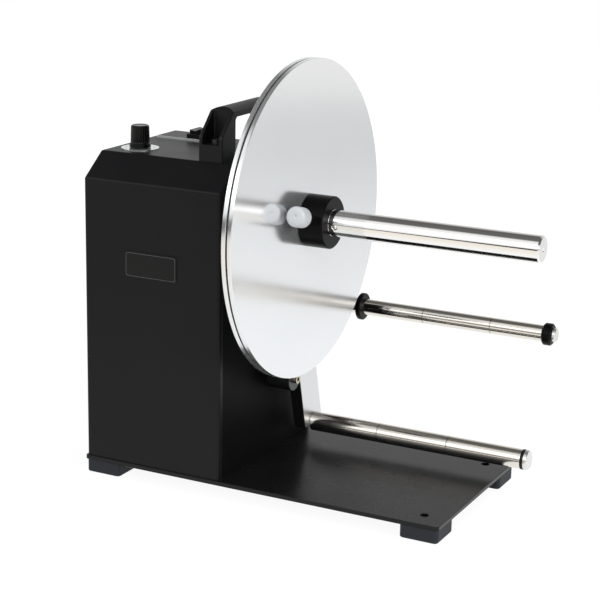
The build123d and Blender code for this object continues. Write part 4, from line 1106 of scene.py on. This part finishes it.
@dataclass
class Studio:
    """Pale floor, soft lamps, bright backdrop and the camera.

    The tent is what metal mirrors. Each of its stops has an angle in degrees about the X axis, from
    straight ahead (-Y) up over the top to the back, a brightness, and the blue's share of the red.
    """

    eye: Point = (0.66451, -1.37331, 0.58196)
    azimuth: float = 26.927
    elevation: float = 15.078
    roll: float = 1.103
    lens: float = 103.0355
    sensor_width: float = 36.0
    clip_end: float = 50.0
    diffuse_level: float = 0.4
    tent: Tuple[Tuple[float, float, float], ...] = (
        (-180.0, 0.95, 0.97),
        (-20.0, 0.85, 0.95),
        (-4.0, 0.8, 0.95),
        (-2.5, 0.03, 1.0),
        (6.0, 0.03, 1.0),
        (9.0, 1.0, 1.0),
        (18.0, 1.1, 1.0),
        (22.0, 2.2, 1.0),
        (40.0, 2.2, 1.0),
        (48.0, 1.0, 1.0),
        (66.0, 0.95, 1.0),
        (78.0, 0.15, 0.96),
        (128.0, 0.12, 0.95),
        (150.0, 0.7, 1.0),
        (180.0, 0.9, 1.0),
    )
    floor_radius: float = 2.4
    floor_drop: float = 0.5 * MM
    floor_points: int = 96
    floor_colour: Colour = (0.82, 0.81, 0.79)
    floor_glow: float = 0.93
    floor_shade: float = 0.12
    fade: Pair = (0.5, 1.1)
    mirrored_fade: Pair = (0.35, 1.7)
    mirrored_near: Colour = (0.95, 0.96, 0.965)
    mirrored_far: Colour = (0.62, 0.63, 0.635)
    mirrored_front: Colour = (0.88, 0.82, 0.74)
    front_start: float = 0.1
    front_slope: float = 2.0
    lamps: Tuple[Lamp, ...] = (
        Lamp("front_lamp", (0.2, -2.2, 1.7), (0.0, 0.0, 0.15), (1.6, 1.0), 20.0),
        Lamp("top_lamp", (0.3, 0.2, 2.4), (0.0, 0.0, 0.0), (1.8, 1.8), 15.0),
        Lamp("right_lamp", (2.2, -0.6, 1.0), (0.0, 0.0, 0.2), (1.0, 1.2), 30.0),
    )

    def camera(self) -> None:
        """Sets the camera where the measured edges and circles of the photograph put it."""
        azimuth, elevation, roll = (math.radians(v) for v in (self.azimuth, self.elevation, self.roll))
        level = math.cos(elevation)
        ahead = Vector((-math.sin(azimuth) * level, math.cos(azimuth) * level, -math.sin(elevation)))
        right = Vector((math.cos(azimuth), math.sin(azimuth), 0.0))
        up = right.cross(ahead)
        right_rolled = right * math.cos(roll) + up * math.sin(roll)
        up_rolled = up * math.cos(roll) - right * math.sin(roll)
        data = bpy.data.cameras.new("camera")
        data.lens = self.lens
        data.sensor_width = self.sensor_width
        data.clip_end = self.clip_end
        made = bpy.data.objects.new("camera", data)
        turn = Matrix((right_rolled, up_rolled, -ahead)).transposed()
        made.matrix_world = Matrix.Translation(self.eye) @ turn.to_4x4()
        bpy.context.scene.collection.objects.link(made)
        bpy.context.scene.camera = made

    def world(self) -> None:
        """White to the camera; to metal, a light tent with a dark roof and a thin dark front edge."""
        world = bpy.data.worlds.new("studio")
        world.use_nodes = True
        bpy.context.scene.world = world
        recipe = Recipe(world.node_tree)
        x, y, z = recipe.split(recipe.node("ShaderNodeTexCoord", {}, {}, "Generated"))
        turn = z.angle_with(y * -1.0) / (2 * math.pi) + 0.5
        stops = [
            (angle / 360.0 + 0.5, (tone, tone * (1 + cool) / 2, tone * cool))
            for angle, tone, cool in self.tent
        ]
        tent = recipe.node("ShaderNodeValToRGB", {"stops": stops}, {"Fac": turn})
        colour = recipe.blend(recipe.seen_by(Ray.GLOSSY, Ray.TRANSMISSION), grey(self.diffuse_level), tent)
        colour = recipe.blend(recipe.seen_by(Ray.CAMERA), colour, WHITE)
        background = recipe.node("ShaderNodeBackground", {}, {"Color": colour, "Strength": 1.0})
        recipe.node("ShaderNodeOutputWorld", {}, {"Surface": background})

    def floor_material(self) -> bpy.types.Material:
        """A pale diffuse floor that fades to white for the camera, and to the tent's own tone in mirrors.

        Returns:
            The floor's material.
        """
        material = bpy.data.materials.new("floor")
        material.use_nodes = True
        recipe = Recipe(material.node_tree)
        x, y, z = recipe.split(recipe.place())
        distance = (x * x + y * y).root()
        far, mirrored_far = (
            ((distance - start) / (end - start)).clamped() for start, end in (self.fade, self.mirrored_fade)
        )
        glow = recipe.blend(far, grey(self.floor_glow), WHITE)
        tone = recipe.blend(mirrored_far, self.mirrored_near, self.mirrored_far)
        front = ((y * -1.0 - self.front_start) * self.front_slope).clamped()
        tone = recipe.blend(front, tone, self.mirrored_front)
        shade = recipe.node("ShaderNodeBsdfDiffuse", {}, {"Color": (*grey(self.floor_shade), 1.0)})
        lights = [recipe.node("ShaderNodeEmission", {}, {"Color": light}) for light in (glow, tone)]
        shown, mirrored = (recipe.node("ShaderNodeAddShader", {}, {0: shade, 1: light}) for light in lights)
        matte = recipe.node("ShaderNodeBsdfDiffuse", {}, {"Color": (*self.floor_colour, 1.0)})
        in_mirror = recipe.seen_by(Ray.GLOSSY, Ray.TRANSMISSION)
        surface = recipe.node("ShaderNodeMixShader", {}, {0: in_mirror, 1: matte, 2: mirrored})
        seen = recipe.seen_by(Ray.CAMERA)
        recipe.surface(recipe.node("ShaderNodeMixShader", {}, {0: seen, 1: surface, 2: shown}))
        return material

    def floor(self) -> None:
        """A round pale floor that keeps the object's shadow."""
        turn = np.linspace(0, 2 * np.pi, self.floor_points, endpoint=False)
        ring = np.stack([np.cos(turn), np.sin(turn), np.zeros_like(turn)], axis=-1) * self.floor_radius
        mesh = bpy.data.meshes.new("floor")
        mesh.from_pydata(ring.tolist(), [], [list(range(self.floor_points))])
        made = bpy.data.objects.new("floor", mesh)
        made.location.z = -self.floor_drop
        bpy.context.scene.collection.objects.link(made)
        mesh.materials.append(self.floor_material())

    def build(self) -> None:
        """Sets up the whole studio."""
        self.camera()
        self.world()
        self.floor()
        for lamp in self.lamps:
            lamp.build()
        bpy.context.scene.view_settings.view_transform = "Standard"


def main() -> None:
    """Builds the studio and dresses every sub-assembly in order."""
    logging.basicConfig(level=logging.WARNING, format="%(message)s")
    parts = [
        Studio(),
        Base(),
        Housing(),
        Controls(),
        CarryHandle(),
        Spindle(),
        ClampFlange(),
        ThumbScrew(),
        TensionArm(),
        GuideRoller(),
        StopPost(),
    ]
    for part in parts:
        part.build()
        log.info("built %s", type(part).__name__)


if __name__ == "__main__":
    main()
